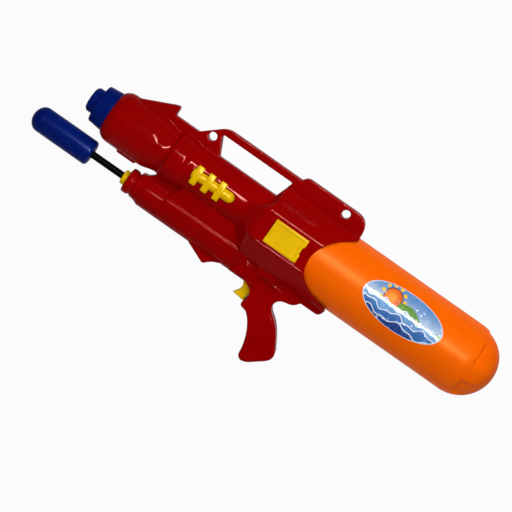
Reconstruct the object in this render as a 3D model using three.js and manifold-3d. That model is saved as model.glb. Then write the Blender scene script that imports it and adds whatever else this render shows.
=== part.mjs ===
// Pump action water squirter: a toy with a pump under its barrel and a screw-on water tank.
// Millimetres, +Z up. The muzzle points along -X, the tank along +X, and the origin is in the grip.
import * as THREE from 'three';
import { mergeVertices } from 'three/addons/utils/BufferGeometryUtils.js';
import Module from 'manifold-3d';

const wasm = await Module();
wasm.setup();

// Walls, gaps and the fineness of round shapes
const wall = 2.5;
const partingGap = 0.3;
const fit = 0.3;
const tankGap = 0.5;
const triggerGap = 0.6;
const roundSides = 28;
const smallSides = 8;
const innerSides = 16;
const curveSteps = 4;

// The two long axes, both along X
const barrelZ = 117;
const pumpZ = 61.4;

// Muzzle shroud, neck, drum and barrel, turned about the barrel axis
const mouthX = -299.5;
const shroudEndX = -226;
const neckX = shroudEndX + 11;
const drumEndX = neckX + 28;
const shroudRadius = 33.6;
const neckRadius = 29;
const drumRadius = 33;
const barrelRadius = 30.6;
const lipRound = 9;
const lipDepth = 4;
const muzzlePadX = [-269, -243];
const muzzlePadHalf = 7;
const muzzlePadProud = 2;

// Receiver: an octagon round the tank, with a flare in front of it
const flareFrontX = -106;
const receiverFrontX = -73;
const tankRadius = 46.5;
const receiverFlat = tankRadius + tankGap + wall;
const lipTipX = 44.4;
const lipTopZ = 72;
const scoopTop = [13, 151.5];
const scoopEdge = [[2.4, 141], [-3.8, 130.5], [-7.2, barrelZ], [-4.8, 102], [1, 92.5], [10, 84.5], [20, 79.5], [31, 76]];

// Fin with the sight ramp, the carry handle and the rear fin
const finHalf = 9;
const finRound = 1.6;
const rampFrontX = -282;
const rampTopX = -238.8;
const rampTopZ = 169.6;
const deckZ = 158.4;
const barTopZ = 181.6;
const barThick = 9.4;
const finTopZ = 188;
const finRearX = 28.8;
const finRootZ = 138;
const riseX = -200.4;
const stepX = -66;
const slotFloorZ = 148.2;
const slotFloorX = [-163.2, -81.6];
const slotTopX = [-174.6, -73.8];
const eyeRadius = 5.4;
const frontEye = [-183.6, 163.2];
const rearEye = [-0.6, 178.2];

// Pump housing, side panel and trigger housing
const collarFrontX = -239.4;
const collarRadius = 16.1;
const collarGroove = 1.2;
const housingRadius = 19.4;
const housingFrontX = -214;
const housingRearX = -60;
const panelFrontX = -187;
const panelSlope = 12;
const panelTopRearX = -110;
const panelTopZ = 96;
const panelBottomZ = 64;
const panelCreaseZ = 72.4;
const webHalf = 12;
const gussetFrontX = housingFrontX - 10;
const webRearX = panelFrontX + 17;
const triggerHousingHalf = 19;
const triggerHousingX = -78;
const fingerFinHalf = 9;
const fingerFinX = -136;
const fingerFinLength = 44;
const fingerFinDrop = 11;
const receiverPadX = [-52, -20];
const receiverPadHalf = 23;

// Grip
const gripHalf = 16;
const gripRound = 3;
const gripFrontX = -42.6;

// Pump
const handleFrontX = -376;
const handleRearX = -291;
const handleRadius = 16.2;
const handleDome = 13;
const rodRadius = 4.45;
const rodFrontX = -345;
const bushFrontX = -246;
const bushRadius = 9.3;
const bushPlugLength = 12;
const cylinderRadius = 12.5;
const cylinderBore = 10.5;
const cylinderRearX = -110;
const pistonX = -166;
const pistonLength = 8;
const ringThick = 2.4;
const flapThick = 1;

// Nozzle
const nozzleFrontX = -329.8;
const nozzleFaceX = -318.2;
const nozzleFaceRadius = 24.4;
const nozzleMouthRadius = 26.2;
const nozzleRearX = -286;
const nozzleFlange = 2;
const bossRadius = 16;
const bossRound = 5;
const jetRadius = 1.5;
const pipeRadius = 6;
const pipeBore = 3.5;
const pipeFrontX = -325;

// Trigger, its pin and the valve
const triggerHalf = 5;
const pivotX = -48;
const pivotZ = 54;
const pinRadius = 2;
const pinHalf = 14;
const triggerEye = 6;
const stemZ = 84;
const noseRadius = 4;
const valveFrontX = -156;
const valveRearX = -112;
const valveRadius = 9;
const valveBore = 5;
const stemRadius = 2.4;
const stemHeadX = -134;
const stemHeadLength = 4;

// Tank, its socket and the hoses
const tankWall = 2;
const neckFrontX = -58;
const neckRadiusOut = 17;
const neckRadiusIn = 13.5;
const shoulderX = -40;
const tankBodyX = -14;
const domeX = 208.8;
const dentCount = 5;
const dentFrontX = 222;
const dentRearX = 245;
const dentDepth = 4;
const dentHalfAngle = THREE.MathUtils.degToRad(24);
const dentTurn = THREE.MathUtils.degToRad(92);
const tankSides = 40;
const socketFrontX = -66;
const socketRearX = -44;
const socketRadius = 22;
const socketFloor = 4;
const hoseRadius = 3.5;
const hoseBore = 2;
const spigotLength = 4;
const supplyPort = [0, 124];
const pumpPort = [12, 107];
const pickupPort = [0, 113];

// Sticker, side plates and ribbed inserts
const stickerX = 118.2;
const stickerHalfLength = 54.6;
const stickerHalfWidth = 26;
const stickerThick = 0.4;
const stickerTilt = THREE.MathUtils.degToRad(11);
const plateX = -41.3;
const plateHalfLength = 22.8;
const plateHalfHeight = 15.5;
const plateProud = 1.8;
const plateSeat = 1.2;
const platePeg = 2;
const platePegX = 15;
const insertFrontX = drumEndX + 9;
const insertRearX = insertFrontX + 59;
const insertHalfHeight = 6.6;
const insertProud = 3.4;
const insertCollarHalf = 12;
const insertCollarWidth = 8.4;
const insertCollarPitch = 16.2;
const insertCollarProud = 5;
const insertFlange = 2;

// Casing screws: [name, x, z]
const screwHeadRadius = 3;
const screwHeadThick = 2.2;
const screwRadius = 1.5;
const screwSeatY = 5.5;
const screwLength = 11;
const screwBoss = 5.2;
const screwPlaces = [
  ['ramp', -246, 157],
  ['fin_front', -58, 174],
  ['fin_rear', -24, 174],
  ['web', -199, 83],
  ['grip_upper', -25, 36],
  ['grip_lower', 6, -16],
  ['lip', 2, 60],
];

const colours = {
  red: [0x8c0404, 0.22],
  blue: [0x06165f, 0.3],
  yellow: [0xdcb800, 0.32],
  orange: [0xe66400, 0.3],
  black: [0x0a0a0a, 0.45],
  white: [0xe6e6e2, 0.45],
  rubber: [0x202022, 0.8],
  steel: [0xb4b4b8, 0.3],
  sticker: [0x7fb6dc, 0.35],
};

// Solids from geometry, with degenerate triangles left out and the faces turned outwards
function solid(geometry) {
  const bare = geometry.index ? geometry.toNonIndexed() : geometry.clone();
  bare.deleteAttribute('normal');
  bare.deleteAttribute('uv');
  const merged = mergeVertices(bare, 1e-3);
  const source = merged.index.array;
  const triangles = [];
  for (let i = 0; i < source.length; i += 3) {
    const [a, b, c] = [source[i], source[i + 1], source[i + 2]];
    if (a !== b && b !== c && a !== c) triangles.push(a, b, c);
  }
  const build = (list) => new wasm.Manifold(new wasm.Mesh({
    numProp: 3,
    vertProperties: new Float32Array(merged.attributes.position.array),
    triVerts: new Uint32Array(list),
  }));
  const body = build(triangles);
  return body.volume() > 0 ? body : build(triangles.reverse());
}

// Corner radius of a faceted hole whose flats keep the given radius clear
const clearOf = (radius, sides) => radius / Math.cos(Math.PI / sides);

const joined = (first, ...rest) => rest.reduce((sum, next) => sum.add(next), first);
const less = (first, ...rest) => rest.reduce((left, next) => left.subtract(next), first);

// A shape turned about an axis along X: the profile is a list of [x, radius]
function turned(profile, axisZ, sides = roundSides) {
  const geometry = new THREE.LatheGeometry(profile.map(([x, r]) => new THREE.Vector2(r, x)), sides);
  geometry.rotateZ(-Math.PI / 2);
  geometry.translate(0, 0, axisZ);
  return solid(geometry);
}

const rod = (x0, x1, radius, axisZ, sides) => turned([[x0, 0], [x0, radius], [x1, radius], [x1, 0]], axisZ, sides);

function tube(x0, x1, outer, inner, axisZ, sides) {
  return turned([[x0, inner], [x0, outer], [x1, outer], [x1, inner], [x0, inner]], axisZ, sides);
}

// A side view outline, given as [x, z] points or a Shape, made solid from y0 to y1
function slab(outline, y0, y1, round = 0) {
  const points = Array.isArray(outline) && outline.map(([x, z]) => new THREE.Vector2(x, z));
  const shape = points ? new THREE.Shape(points) : outline;
  const geometry = new THREE.ExtrudeGeometry(shape, {
    depth: y1 - y0 - 2 * round,
    curveSegments: curveSteps,
    bevelEnabled: round > 0,
    bevelThickness: round,
    bevelSize: round,
    bevelOffset: -round,
    bevelSegments: 1,
  });
  geometry.rotateX(Math.PI / 2);
  geometry.translate(0, y1 - round, 0);
  return solid(geometry);
}

// A cross section, given as [y, z] points, made solid from x0 to x1
function bar(section, x0, x1) {
  const shape = new THREE.Shape(section.map(([y, z]) => new THREE.Vector2(y, z)));
  const geometry = new THREE.ExtrudeGeometry(shape, { depth: x1 - x0, bevelEnabled: false });
  const across = new THREE.Vector3(0, 1, 0);
  const up = new THREE.Vector3(0, 0, 1);
  const along = new THREE.Vector3(1, 0, 0);
  geometry.applyMatrix4(new THREE.Matrix4().makeBasis(across, up, along));
  geometry.translate(x0, 0, 0);
  return solid(geometry);
}

const box = (x0, x1, y0, y1, z0, z1) => bar([[y0, z0], [y1, z0], [y1, z1], [y0, z1]], x0, x1);

function post(x, z, radius, y0, y1, sides = smallSides) {
  const geometry = new THREE.CylinderGeometry(radius, radius, y1 - y0, sides);
  geometry.translate(x, (y0 + y1) / 2, z);
  return solid(geometry);
}

// Rings about the barrel axis, joined one after the other and closed by flat ends
function lofted(stations, sides) {
  const positions = [];
  const index = [];
  for (const { x, radius } of stations) {
    for (let i = 0; i < sides; i++) {
      const angle = (i / sides) * 2 * Math.PI;
      const r = radius(angle);
      positions.push(x, r * Math.cos(angle), barrelZ + r * Math.sin(angle));
    }
  }
  for (let row = 0; row < stations.length - 1; row++) {
    for (let i = 0; i < sides; i++) {
      const a = row * sides + i;
      const b = row * sides + (i + 1) % sides;
      index.push(a, a + sides, b, b, a + sides, b + sides);
    }
  }
  const last = (stations.length - 1) * sides;
  for (let i = 1; i < sides - 1; i++) {
    index.push(0, i, i + 1);
    index.push(last, last + i + 1, last + i);
  }
  const geometry = new THREE.BufferGeometry();
  geometry.setAttribute('position', new THREE.Float32BufferAttribute(positions, 3));
  geometry.setIndex(index);
  return solid(geometry);
}

// A tube with a bore along a smooth curve through the points
function hose(points, radius, bore, steps, sides = 8) {
  const path = new THREE.CatmullRomCurve3(points.map((p) => new THREE.Vector3(...p)), false, 'centripetal');
  const ring = (r) => Array.from({ length: sides }, (_, i) => {
    const angle = (i / sides) * 2 * Math.PI;
    return new THREE.Vector2(r * Math.cos(angle), r * Math.sin(angle));
  });
  const shape = new THREE.Shape(ring(radius));
  shape.holes.push(new THREE.Path(ring(bore)));
  return solid(new THREE.ExtrudeGeometry(shape, { steps, extrudePath: path, bevelEnabled: false }));
}

// A helical spring along X with closed ends
function spring(x0, x1, axisZ, radius, wire, turns) {
  class Helix extends THREE.Curve {
    getPoint(t) {
      const angle = t * turns * 2 * Math.PI;
      const x = THREE.MathUtils.lerp(x0 + wire, x1 - wire, t);
      return new THREE.Vector3(x, radius * Math.cos(angle), axisZ + radius * Math.sin(angle));
    }
  }
  const sides = 5;
  const section = new THREE.Shape(Array.from({ length: sides }, (_, i) => {
    const angle = (i / sides) * 2 * Math.PI;
    return new THREE.Vector2(wire * Math.cos(angle), wire * Math.sin(angle));
  }));
  return solid(new THREE.ExtrudeGeometry(section, {
    steps: turns * 8, extrudePath: new Helix(), bevelEnabled: false,
  }));
}

// Casing: the form of both halves together, and the space inside them
const mouthGap = 0.7;
const mouthBore = nozzleMouthRadius + mouthGap;
const lipHeight = shroudRadius - mouthBore;
const barrelEndX = flareFrontX + 2 * wall;
const pumpBore = cylinderRadius + 2 * fit;
const openSide = 60;

function muzzleForm() {
  const profile = [[mouthX, 0]];
  const lipSteps = 3;
  for (let i = 0; i <= lipSteps; i++) {
    const turn = (i / lipSteps) * Math.PI / 2;
    profile.push([mouthX + lipRound * (1 - Math.cos(turn)), shroudRadius - lipHeight * (1 - Math.sin(turn))]);
  }
  profile.push(
    [shroudEndX, shroudRadius], [shroudEndX + 5, shroudRadius - 2], [neckX - 1, neckRadius], [neckX, neckRadius],
    [neckX + 3, drumRadius - 1], [neckX + 9, drumRadius], [drumEndX - 9, drumRadius], [drumEndX, barrelRadius], [barrelEndX, barrelRadius], [barrelEndX, 0],
  );
  return turned(profile, barrelZ);
}

function muzzleSpace() {
  return turned([
    [mouthX - wall, 0], [mouthX - wall, mouthBore], [mouthX + lipDepth, mouthBore],
    [mouthX + lipRound, shroudRadius - wall], [shroudEndX, shroudRadius - wall],
    [neckX - 1, neckRadius - wall], [neckX + 2, neckRadius - wall], [neckX + 9, drumRadius - wall],
    [drumEndX - 9, drumRadius - wall], [drumEndX, barrelRadius - wall], [barrelEndX, barrelRadius - wall], [barrelEndX, 0],
  ], barrelZ, 24);
}

// Distance from the axis to a regular octagon with the given half width across its flats
function octagonReach(flat) {
  const eighth = Math.PI / 4;
  return (angle) => flat / Math.cos(THREE.MathUtils.euclideanModulo(angle + eighth / 2, eighth) - eighth / 2);
}

function receiverForm(shrink, rearX) {
  const flareSteps = 4;
  const round = barrelRadius - shrink;
  const flat = octagonReach(receiverFlat - shrink);
  const stations = [];
  for (let i = 0; i <= flareSteps; i++) {
    const share = i / flareSteps;
    const swell = THREE.MathUtils.smoothstep(share, 0, 1);
    stations.push({
      x: THREE.MathUtils.lerp(flareFrontX, receiverFrontX, share) + shrink,
      radius: (angle) => THREE.MathUtils.lerp(round, flat(angle), swell),
    });
  }
  stations.push({ x: rearX, radius: flat });
  return lofted(stations, 32);
}

function finForm() {
  const fin = new THREE.Shape();
  const rampBackX = rampTopX + 4.8;
  fin.moveTo(rampFrontX, finRootZ);
  fin.lineTo(rampFrontX, barrelZ + shroudRadius - 1);
  fin.lineTo(rampTopX, rampTopZ);
  fin.quadraticCurveTo(rampBackX, rampTopZ + 1, rampBackX, rampTopZ - 3);
  fin.lineTo(rampBackX, deckZ);
  fin.lineTo(riseX, deckZ);
  fin.lineTo(riseX + 18, deckZ + 15.5);
  fin.quadraticCurveTo(riseX + 26, barTopZ, riseX + 35, barTopZ);
  fin.lineTo(stepX, barTopZ);
  fin.quadraticCurveTo(stepX + 3, finTopZ, stepX + 9, finTopZ);
  fin.lineTo(finRearX - 19, finTopZ);
  fin.quadraticCurveTo(finRearX, finTopZ, finRearX, finTopZ - 22);
  fin.lineTo(finRearX, finRootZ);
  const eyes = [frontEye, rearEye].map(([x, z]) => post(x, z, eyeRadius, -openSide, openSide, 16));
  return less(slab(fin, -finHalf, finHalf, finRound), ...eyes);
}

// The hand slot is wider at the bar than at its floor
function handSlot() {
  const top = barTopZ - barThick;
  const corner = 2.4;
  const slot = new THREE.Shape();
  slot.moveTo(slotFloorX[0], slotFloorZ);
  slot.lineTo(slotFloorX[1], slotFloorZ);
  slot.lineTo(slotTopX[1] - 0.7, top - corner);
  slot.quadraticCurveTo(slotTopX[1], top, slotTopX[1] - corner, top);
  slot.lineTo(slotTopX[0] + corner, top);
  slot.quadraticCurveTo(slotTopX[0], top, slotTopX[0] + 0.8, top - corner);
  return slot;
}

// The curved rear edge of the receiver, seen from the side
function scoop() {
  const edge = new THREE.Shape();
  edge.moveTo(finRearX, tankRadius + barrelZ - 1.5);
  edge.lineTo(...scoopTop);
  edge.splineThru(scoopEdge.map(([x, z]) => new THREE.Vector2(x, z)));
  edge.lineTo(lipTipX, lipTopZ);
  edge.lineTo(lipTipX + wall, lipTopZ);
  edge.lineTo(lipTipX + wall, tankRadius + barrelZ + 2 * wall);
  edge.lineTo(finRearX, tankRadius + barrelZ + 2 * wall);
  return slab(edge, -openSide, openSide);
}

function gripShape() {
  const grip = new THREE.Shape();
  grip.moveTo(gripFrontX, lipTopZ);
  grip.lineTo(lipTipX, lipTopZ);
  grip.lineTo(lipTipX - 0.3, 67);
  grip.quadraticCurveTo(43, 60, 36, 60);
  grip.lineTo(16, 60);
  grip.quadraticCurveTo(11.5, 52, 4, 50.8);
  grip.quadraticCurveTo(-9.6, 49, -9.8, 39.6);
  grip.quadraticCurveTo(-9.6, 32.5, 0, 26.4);
  grip.quadraticCurveTo(9, 20, 16.8, 7.2);
  grip.lineTo(23.4, -3.6);
  grip.quadraticCurveTo(31, -14.4, 20.4, -22.8);
  grip.lineTo(6, -34.4);
  grip.quadraticCurveTo(-6, -42.6, -10.4, -32.4);
  grip.quadraticCurveTo(-10.6, -22, -16.8, -7.2);
  grip.quadraticCurveTo(-24, 8.4, -33, 14.6);
  grip.lineTo(-39.6, 16);
  grip.quadraticCurveTo(gripFrontX, 17, gripFrontX, 20);
  return grip;
}

// The same outline drawn in by a distance, for the space inside
function drawnIn(shape, distance) {
  const points = shape.getPoints(curveSteps);
  const clockwise = THREE.ShapeUtils.isClockWise(points) ? -1 : 1;
  const moved = points.map((point, i) => {
    const before = points[(i + points.length - 1) % points.length];
    const after = points[(i + 1) % points.length];
    const into = point.clone().sub(before).normalize();
    const out = after.clone().sub(point).normalize();
    const normal = new THREE.Vector2(-into.y - out.y, into.x + out.x).normalize();
    const stretch = 1 / Math.max(0.6, Math.sqrt((1 + into.dot(out)) / 2));
    return point.clone().addScaledVector(normal, clockwise * distance * stretch);
  });
  return new THREE.Shape(moved);
}

function pumpForm() {
  const grooveFrontX = collarFrontX + 8.4;
  return turned([
    [collarFrontX, 0], [collarFrontX, collarRadius - 1.5], [collarFrontX + 1.5, collarRadius],
    [grooveFrontX, collarRadius], [grooveFrontX + 1, collarRadius - collarGroove], [grooveFrontX + 3.4, collarRadius - collarGroove],
    [grooveFrontX + 4.4, collarRadius], [housingFrontX - 11, collarRadius], [housingFrontX - 6, collarRadius + 1.2], [housingFrontX, housingRadius],
    [housingRearX, housingRadius], [housingRearX, 0],
  ], pumpZ);
}

function pumpSpace() {
  const frontWall = collarFrontX + wall;
  const nose = bushRadius + fit;
  return turned([
    [collarFrontX - wall, 0], [collarFrontX - wall, nose], [frontWall, nose], [frontWall, pumpBore],
    [housingFrontX, pumpBore], [housingFrontX + 6, housingRadius - wall],
    [housingRearX, housingRadius - wall], [housingRearX, 0],
  ], pumpZ, innerSides);
}

// Side panels between the barrel and the pump housing: a cross section within a side outline
function panelForm(shrink) {
  const low = housingRadius + 0.3 - shrink;
  const mid = housingRadius + 1.2 - shrink;
  const high = housingRadius + 5.2 - shrink;
  const section = [
    [-low, panelBottomZ], [low, panelBottomZ], [mid, panelCreaseZ],
    [high, panelTopZ + 4], [-high, panelTopZ + 4], [-mid, panelCreaseZ],
  ];
  const top = panelTopZ - shrink;
  const crease = panelCreaseZ - shrink;
  const outline = [
    [panelFrontX + shrink, panelBottomZ], [panelFrontX + shrink, crease], [panelFrontX + panelSlope + shrink, top],
    [panelTopRearX - shrink, top],
    [receiverFrontX - 2 * shrink, crease], [housingRearX - shrink, panelBottomZ],
  ];
  return bar(section, panelFrontX - wall, housingRearX).intersect(slab(outline, -openSide, openSide));
}

function casingForm() {
  const webTopZ = barrelZ - neckRadius + 8;
  const web = slab([
    [gussetFrontX, pumpZ], [webRearX, pumpZ], [webRearX, webTopZ], [housingFrontX + 1.6, webTopZ],
    [housingFrontX + 1.6, webTopZ - 10.4], [gussetFrontX, pumpZ + collarRadius + 0.3],
  ], -webHalf, webHalf);
  const underZ = pumpZ - housingRadius;
  const triggerHousing = slab([
    [triggerHousingX, underZ], [gripFrontX + wall, underZ], [gripFrontX + wall, lipTopZ], [triggerHousingX, lipTopZ],
  ], -triggerHousingHalf, triggerHousingHalf, 2);
  const finEndX = fingerFinX + fingerFinLength;
  const fingerFin = slab([
    [fingerFinX, underZ + fingerFinHalf], [fingerFinX, underZ], [finEndX - 18.4, underZ - fingerFinDrop + 0.4],
    [finEndX - 15.6, underZ - fingerFinDrop], [finEndX - 12, underZ - 0.64 * fingerFinDrop],
    [finEndX - 6, underZ - 0.22 * fingerFinDrop], [finEndX, underZ], [finEndX, underZ + fingerFinHalf],
  ], -fingerFinHalf, fingerFinHalf, 1);
  const under = barrelZ - shroudRadius;
  const muzzlePad = box(...muzzlePadX, -muzzlePadHalf, muzzlePadHalf, under - muzzlePadProud, under + wall);
  const [padFront, padRear] = receiverPadX;
  const receiverPad = slab([
    [padFront, pumpZ], [padRear, pumpZ], [padRear, lipTopZ], [padFront, lipTopZ],
  ], -receiverPadHalf, receiverPadHalf, 3);
  const form = joined(
    muzzleForm(), muzzlePad, receiverForm(0, lipTipX), finForm(), pumpForm(), panelForm(0), web, triggerHousing,
    fingerFin, receiverPad, slab(gripShape(), -gripHalf, gripHalf, gripRound),
  );
  return less(form, scoop(), slab(handSlot(), -openSide, openSide));
}

function casingSpace() {
  const pocket = finHalf - wall;
  const inGrip = gripHalf - wall;
  const barPocket = box(riseX + 36, stepX - 4, -pocket, pocket, barTopZ - barThick + wall, barTopZ - wall);
  const rampFloorZ = barrelZ + shroudRadius + wall;
  const [pocketFront, pocketRear] = [rampTopX - 23, rampTopX - 1];
  const rampPocket = slab([
    [pocketFront, rampFloorZ], [pocketRear, rampFloorZ], [pocketRear, rampTopZ - 2 * wall], [pocketFront, rampFloorZ + 1.5],
  ], -pocket, pocket);
  const finPocket = box(stepX + 2, rearEye[0] - eyeRadius - 2 * wall, -pocket, pocket, barrelZ + receiverFlat - 2 * wall, finTopZ - wall);
  const webPocket = box(housingFrontX + wall, webRearX - 2, wall - webHalf, webHalf - wall, pumpZ, barrelZ - 20);
  const tunnel = box(cylinderRearX - 6, housingRearX, -webHalf, webHalf, pumpZ, panelTopZ);
  const inTrigger = triggerHousingHalf - wall;
  const underZ = pumpZ - housingRadius + wall;
  const triggerSpace = box(triggerHousingX + 4, gripFrontX, -inTrigger, inTrigger, underZ, barrelZ - receiverFlat + 2 * wall);
  const pivotSpace = box(gripFrontX - wall, gripFrontX + 8, -inGrip, inGrip, underZ, 64);
  const gripSpace = slab(drawnIn(gripShape(), wall), -inGrip, inGrip)
    .intersect(box(gripFrontX, 12, -gripHalf, gripHalf, -openSide, lipTopZ - 8));
  const triggerSlot = box(gripFrontX - 15, gripFrontX + 9, -triggerHalf - triggerGap, triggerHalf + triggerGap,
    17, pumpZ - housingRadius + 6);
  const underSlot = slab(drawnIn(handSlot(), -wall), -openSide, openSide);
  return joined(
    muzzleSpace(), receiverForm(wall, lipTipX + wall).subtract(underSlot), pumpSpace(), panelForm(wall), tunnel,
    barPocket, rampPocket, finPocket, webPocket, triggerSpace, pivotSpace, gripSpace, triggerSlot,
  );
}

// Ribs and bosses that carry the inner pieces, and the seats cut for them
const ribThick = 3;
const ribSink = 1;
const shroudRibX = mouthX + 41.5;
const drumRibX = neckX + 9;
const pumpRibs = [-190, -130];
const valveRibX = -140;
const socketRibX = socketFrontX + 2;
const pinBoss = 5.5;

function carriers() {
  const disc = (x, radius, axisZ) => rod(x, x + ribThick, radius - wall + ribSink, axisZ, innerSides);
  const ribs = joined(
    disc(shroudRibX, shroudRadius, barrelZ), disc(drumRibX, drumRadius, barrelZ),
    ...pumpRibs.map((x) => disc(x, housingRadius, pumpZ)),
    box(valveRibX, valveRibX + ribThick, -openSide, openSide, pumpZ + cylinderRadius, stemZ + valveRadius),
    rod(socketRibX, socketRibX + ribThick, receiverFlat, barrelZ, innerSides),
  );
  const bosses = screwPlaces.map(([, x, z]) => post(x, z, screwBoss, -openSide, openSide));
  const pinPosts = [
    post(pivotX, pivotZ, pinBoss, -openSide, -triggerHalf - triggerGap),
    post(pivotX, pivotZ, pinBoss, triggerHalf + triggerGap, openSide),
  ];
  return joined(ribs, ...bosses, ...pinPosts);
}

function carrierSeats() {
  const armRoom = triggerHalf + triggerGap;
  return joined(
    rod(pipeFrontX, drumRibX + 2 * ribThick, pipeRadius + 2 * fit, barrelZ, innerSides),
    rod(collarFrontX + wall, cylinderRearX + ribThick, pumpBore, pumpZ, innerSides),
    rod(valveFrontX - fit, valveRearX + fit, valveRadius + 2 * fit, stemZ, innerSides),
    rod(socketFrontX - ribThick, socketRearX, socketRadius + 2 * fit, barrelZ, innerSides),
    box(socketRibX - ribThick, socketRibX + 2 * ribThick, -armRoom, armRoom, pumpZ, barrelZ - socketRadius),
    post(pivotX, pivotZ, pinRadius + fit, -pinHalf - fit, pinHalf + fit),
    ...screwPlaces.map(([, x, z]) => post(x, z, screwRadius + fit, screwSeatY - screwLength - wall, openSide)),
    ...screwPlaces.map(([, x, z]) => post(x, z, screwHeadRadius + fit, screwSeatY, openSide)),
  );
}

// Windows and pockets for the yellow trim, on one side
function trimSeats(side) {
  const outer = side * openSide;
  const spanned = (outline, y) => slab(outline, Math.min(y, outer), Math.max(y, outer));
  const pegY = side * (receiverFlat - 2 * wall);
  const pegs = [-platePegX, platePegX].map((dx) => (
    post(plateX + dx, barrelZ, platePeg + fit, Math.min(pegY, outer), Math.max(pegY, outer))));
  return joined(
    spanned(insertOutline(fit), side * barrelRadius / 2),
    spanned(plateOutline(fit), side * (receiverFlat - plateSeat)),
    ...pegs,
  );
}

function casing() {
  const form = casingForm();
  const hollow = form.subtract(casingSpace());
  const whole = hollow.add(carriers().intersect(form));
  return less(whole, carrierSeats(), trimSeats(-1), trimSeats(1));
}

function casingHalf(whole, side) {
  const near = side * partingGap / 2;
  const far = side * openSide;
  const reach = 400;
  return whole.intersect(box(-reach, reach, Math.min(near, far), Math.max(near, far), -reach, reach));
}

// Yellow trim: a ribbed insert in a barrel window, and a plate on the receiver's flat
function insertOutline(grow) {
  const half = insertHalfHeight + grow;
  const outline = new THREE.Shape();
  outline.moveTo(insertFrontX - grow, barrelZ - half);
  outline.lineTo(insertRearX - insertHalfHeight, barrelZ - half);
  outline.absarc(insertRearX - insertHalfHeight, barrelZ, half, -Math.PI / 2, Math.PI / 2, false);
  outline.lineTo(insertFrontX - grow, barrelZ + half);
  return outline;
}

function plateOutline(grow) {
  const notchDepth = 1.8;
  const notchHalf = 5.4;
  const front = plateX - plateHalfLength - grow;
  const rear = plateX + plateHalfLength + grow;
  const high = plateHalfHeight + grow;
  const notch = notchHalf - grow;
  return [
    [front, -high], [rear, -high], [rear, -notch], [rear - notchDepth, 1 - notch], [rear - notchDepth, notch - 1],
    [rear, notch], [rear, high], [front, high],
  ].map(([x, z]) => [x, barrelZ + z]);
}

function facing(side, near, far) {
  return [Math.min(side * near, side * far), Math.max(side * near, side * far)];
}

function ribbedInsert(side) {
  const inner = barrelRadius - wall - fit;
  const body = slab(insertOutline(0), ...facing(side, inner - insertFlange, barrelRadius + insertProud), 1);
  const flange = tube(insertFrontX - wall, insertRearX + wall, inner, inner - insertFlange, barrelZ)
    .intersect(slab(insertOutline(wall), ...facing(side, barrelRadius / 2, openSide)));
  const collars = [];
  for (let i = 0; i < 3; i++) {
    const x = insertFrontX + 2.4 + i * insertCollarPitch;
    const z = insertCollarHalf;
    collars.push(slab(
      [[x, barrelZ - z], [x + insertCollarWidth, barrelZ - z], [x + insertCollarWidth, barrelZ + z], [x, barrelZ + z]],
      ...facing(side, barrelRadius / 2, barrelRadius + insertCollarProud), 1));
  }
  const outside = joined(...collars).subtract(rod(insertFrontX - wall, insertRearX, barrelRadius + fit, barrelZ));
  return joined(body, flange, outside);
}

function sidePlate(side) {
  const face = slab(plateOutline(0), ...facing(side, receiverFlat - plateSeat + fit, receiverFlat + plateProud));
  const pegs = [-platePegX, platePegX].map((dx) => (
    post(plateX + dx, barrelZ, platePeg, ...facing(side, receiverFlat - 2 * wall, receiverFlat))));
  return joined(face, ...pegs);
}

// Nozzle and outlet
const hubRadius = 9;
const hubRearX = -300;
const sealThick = 2;

function nozzle() {
  const profile = [[nozzleFrontX, jetRadius]];
  const steps = 3;
  for (let i = 0; i <= steps; i++) {
    const turn = (i / steps) * Math.PI / 2;
    profile.push([nozzleFrontX + bossRound * (1 - Math.cos(turn)), bossRadius - bossRound * (1 - Math.sin(turn))]);
  }
  const edge = 1.8;
  const flangeX = mouthX + lipRound + fit;
  const inside = nozzleMouthRadius - wall;
  profile.push(
    [nozzleFaceX, bossRadius], [nozzleFaceX, nozzleFaceRadius - edge], [nozzleFaceX + edge / 3, nozzleFaceRadius - edge / 3],
    [nozzleFaceX + edge, nozzleFaceRadius], [mouthX, nozzleMouthRadius], [flangeX, nozzleMouthRadius],
    [flangeX, mouthBore + nozzleFlange], [nozzleRearX, mouthBore + nozzleFlange], [nozzleRearX, inside],
    [nozzleFaceX + wall, nozzleFaceRadius - wall], [nozzleFaceX + wall, hubRadius], [hubRearX, hubRadius],
    [hubRearX, pipeRadius + fit], [pipeFrontX - fit, pipeRadius + fit], [pipeFrontX - fit, jetRadius],
    [nozzleFrontX, jetRadius],
  );
  return turned(profile, barrelZ);
}

const nozzleSeal = () => tube(hubRearX + fit, hubRearX + fit + sealThick, hubRadius, pipeRadius + fit, barrelZ, innerSides);

function outletPipe() {
  const bendX = drumRibX + ribThick + 1;
  const bendEndX = valveFrontX - 2 * spigotLength;
  const bend = (share, fall) => [
    THREE.MathUtils.lerp(bendX, bendEndX, share), 0, THREE.MathUtils.lerp(barrelZ, stemZ, fall),
  ];
  return hose([
    [pipeFrontX, 0, barrelZ], [mouthX + lipRound, 0, barrelZ], [shroudRibX + 8, 0, barrelZ], [drumRibX - 6, 0, barrelZ],
    bend(0, 0), bend(0.26, 0.12), bend(0.58, 0.6), bend(0.84, 0.94),
    bend(1, 1), [valveFrontX - spigotLength, 0, stemZ], [valveFrontX - fit, 0, stemZ],
  ], pipeRadius, pipeBore, 18);
}

// Pump
const cylinderFrontX = collarFrontX + wall + fit;
const cylinderFloor = 2;
const rodBore = rodRadius + fit;
const plugRadius = cylinderBore - fit;
const rodSink = 5;

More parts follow.
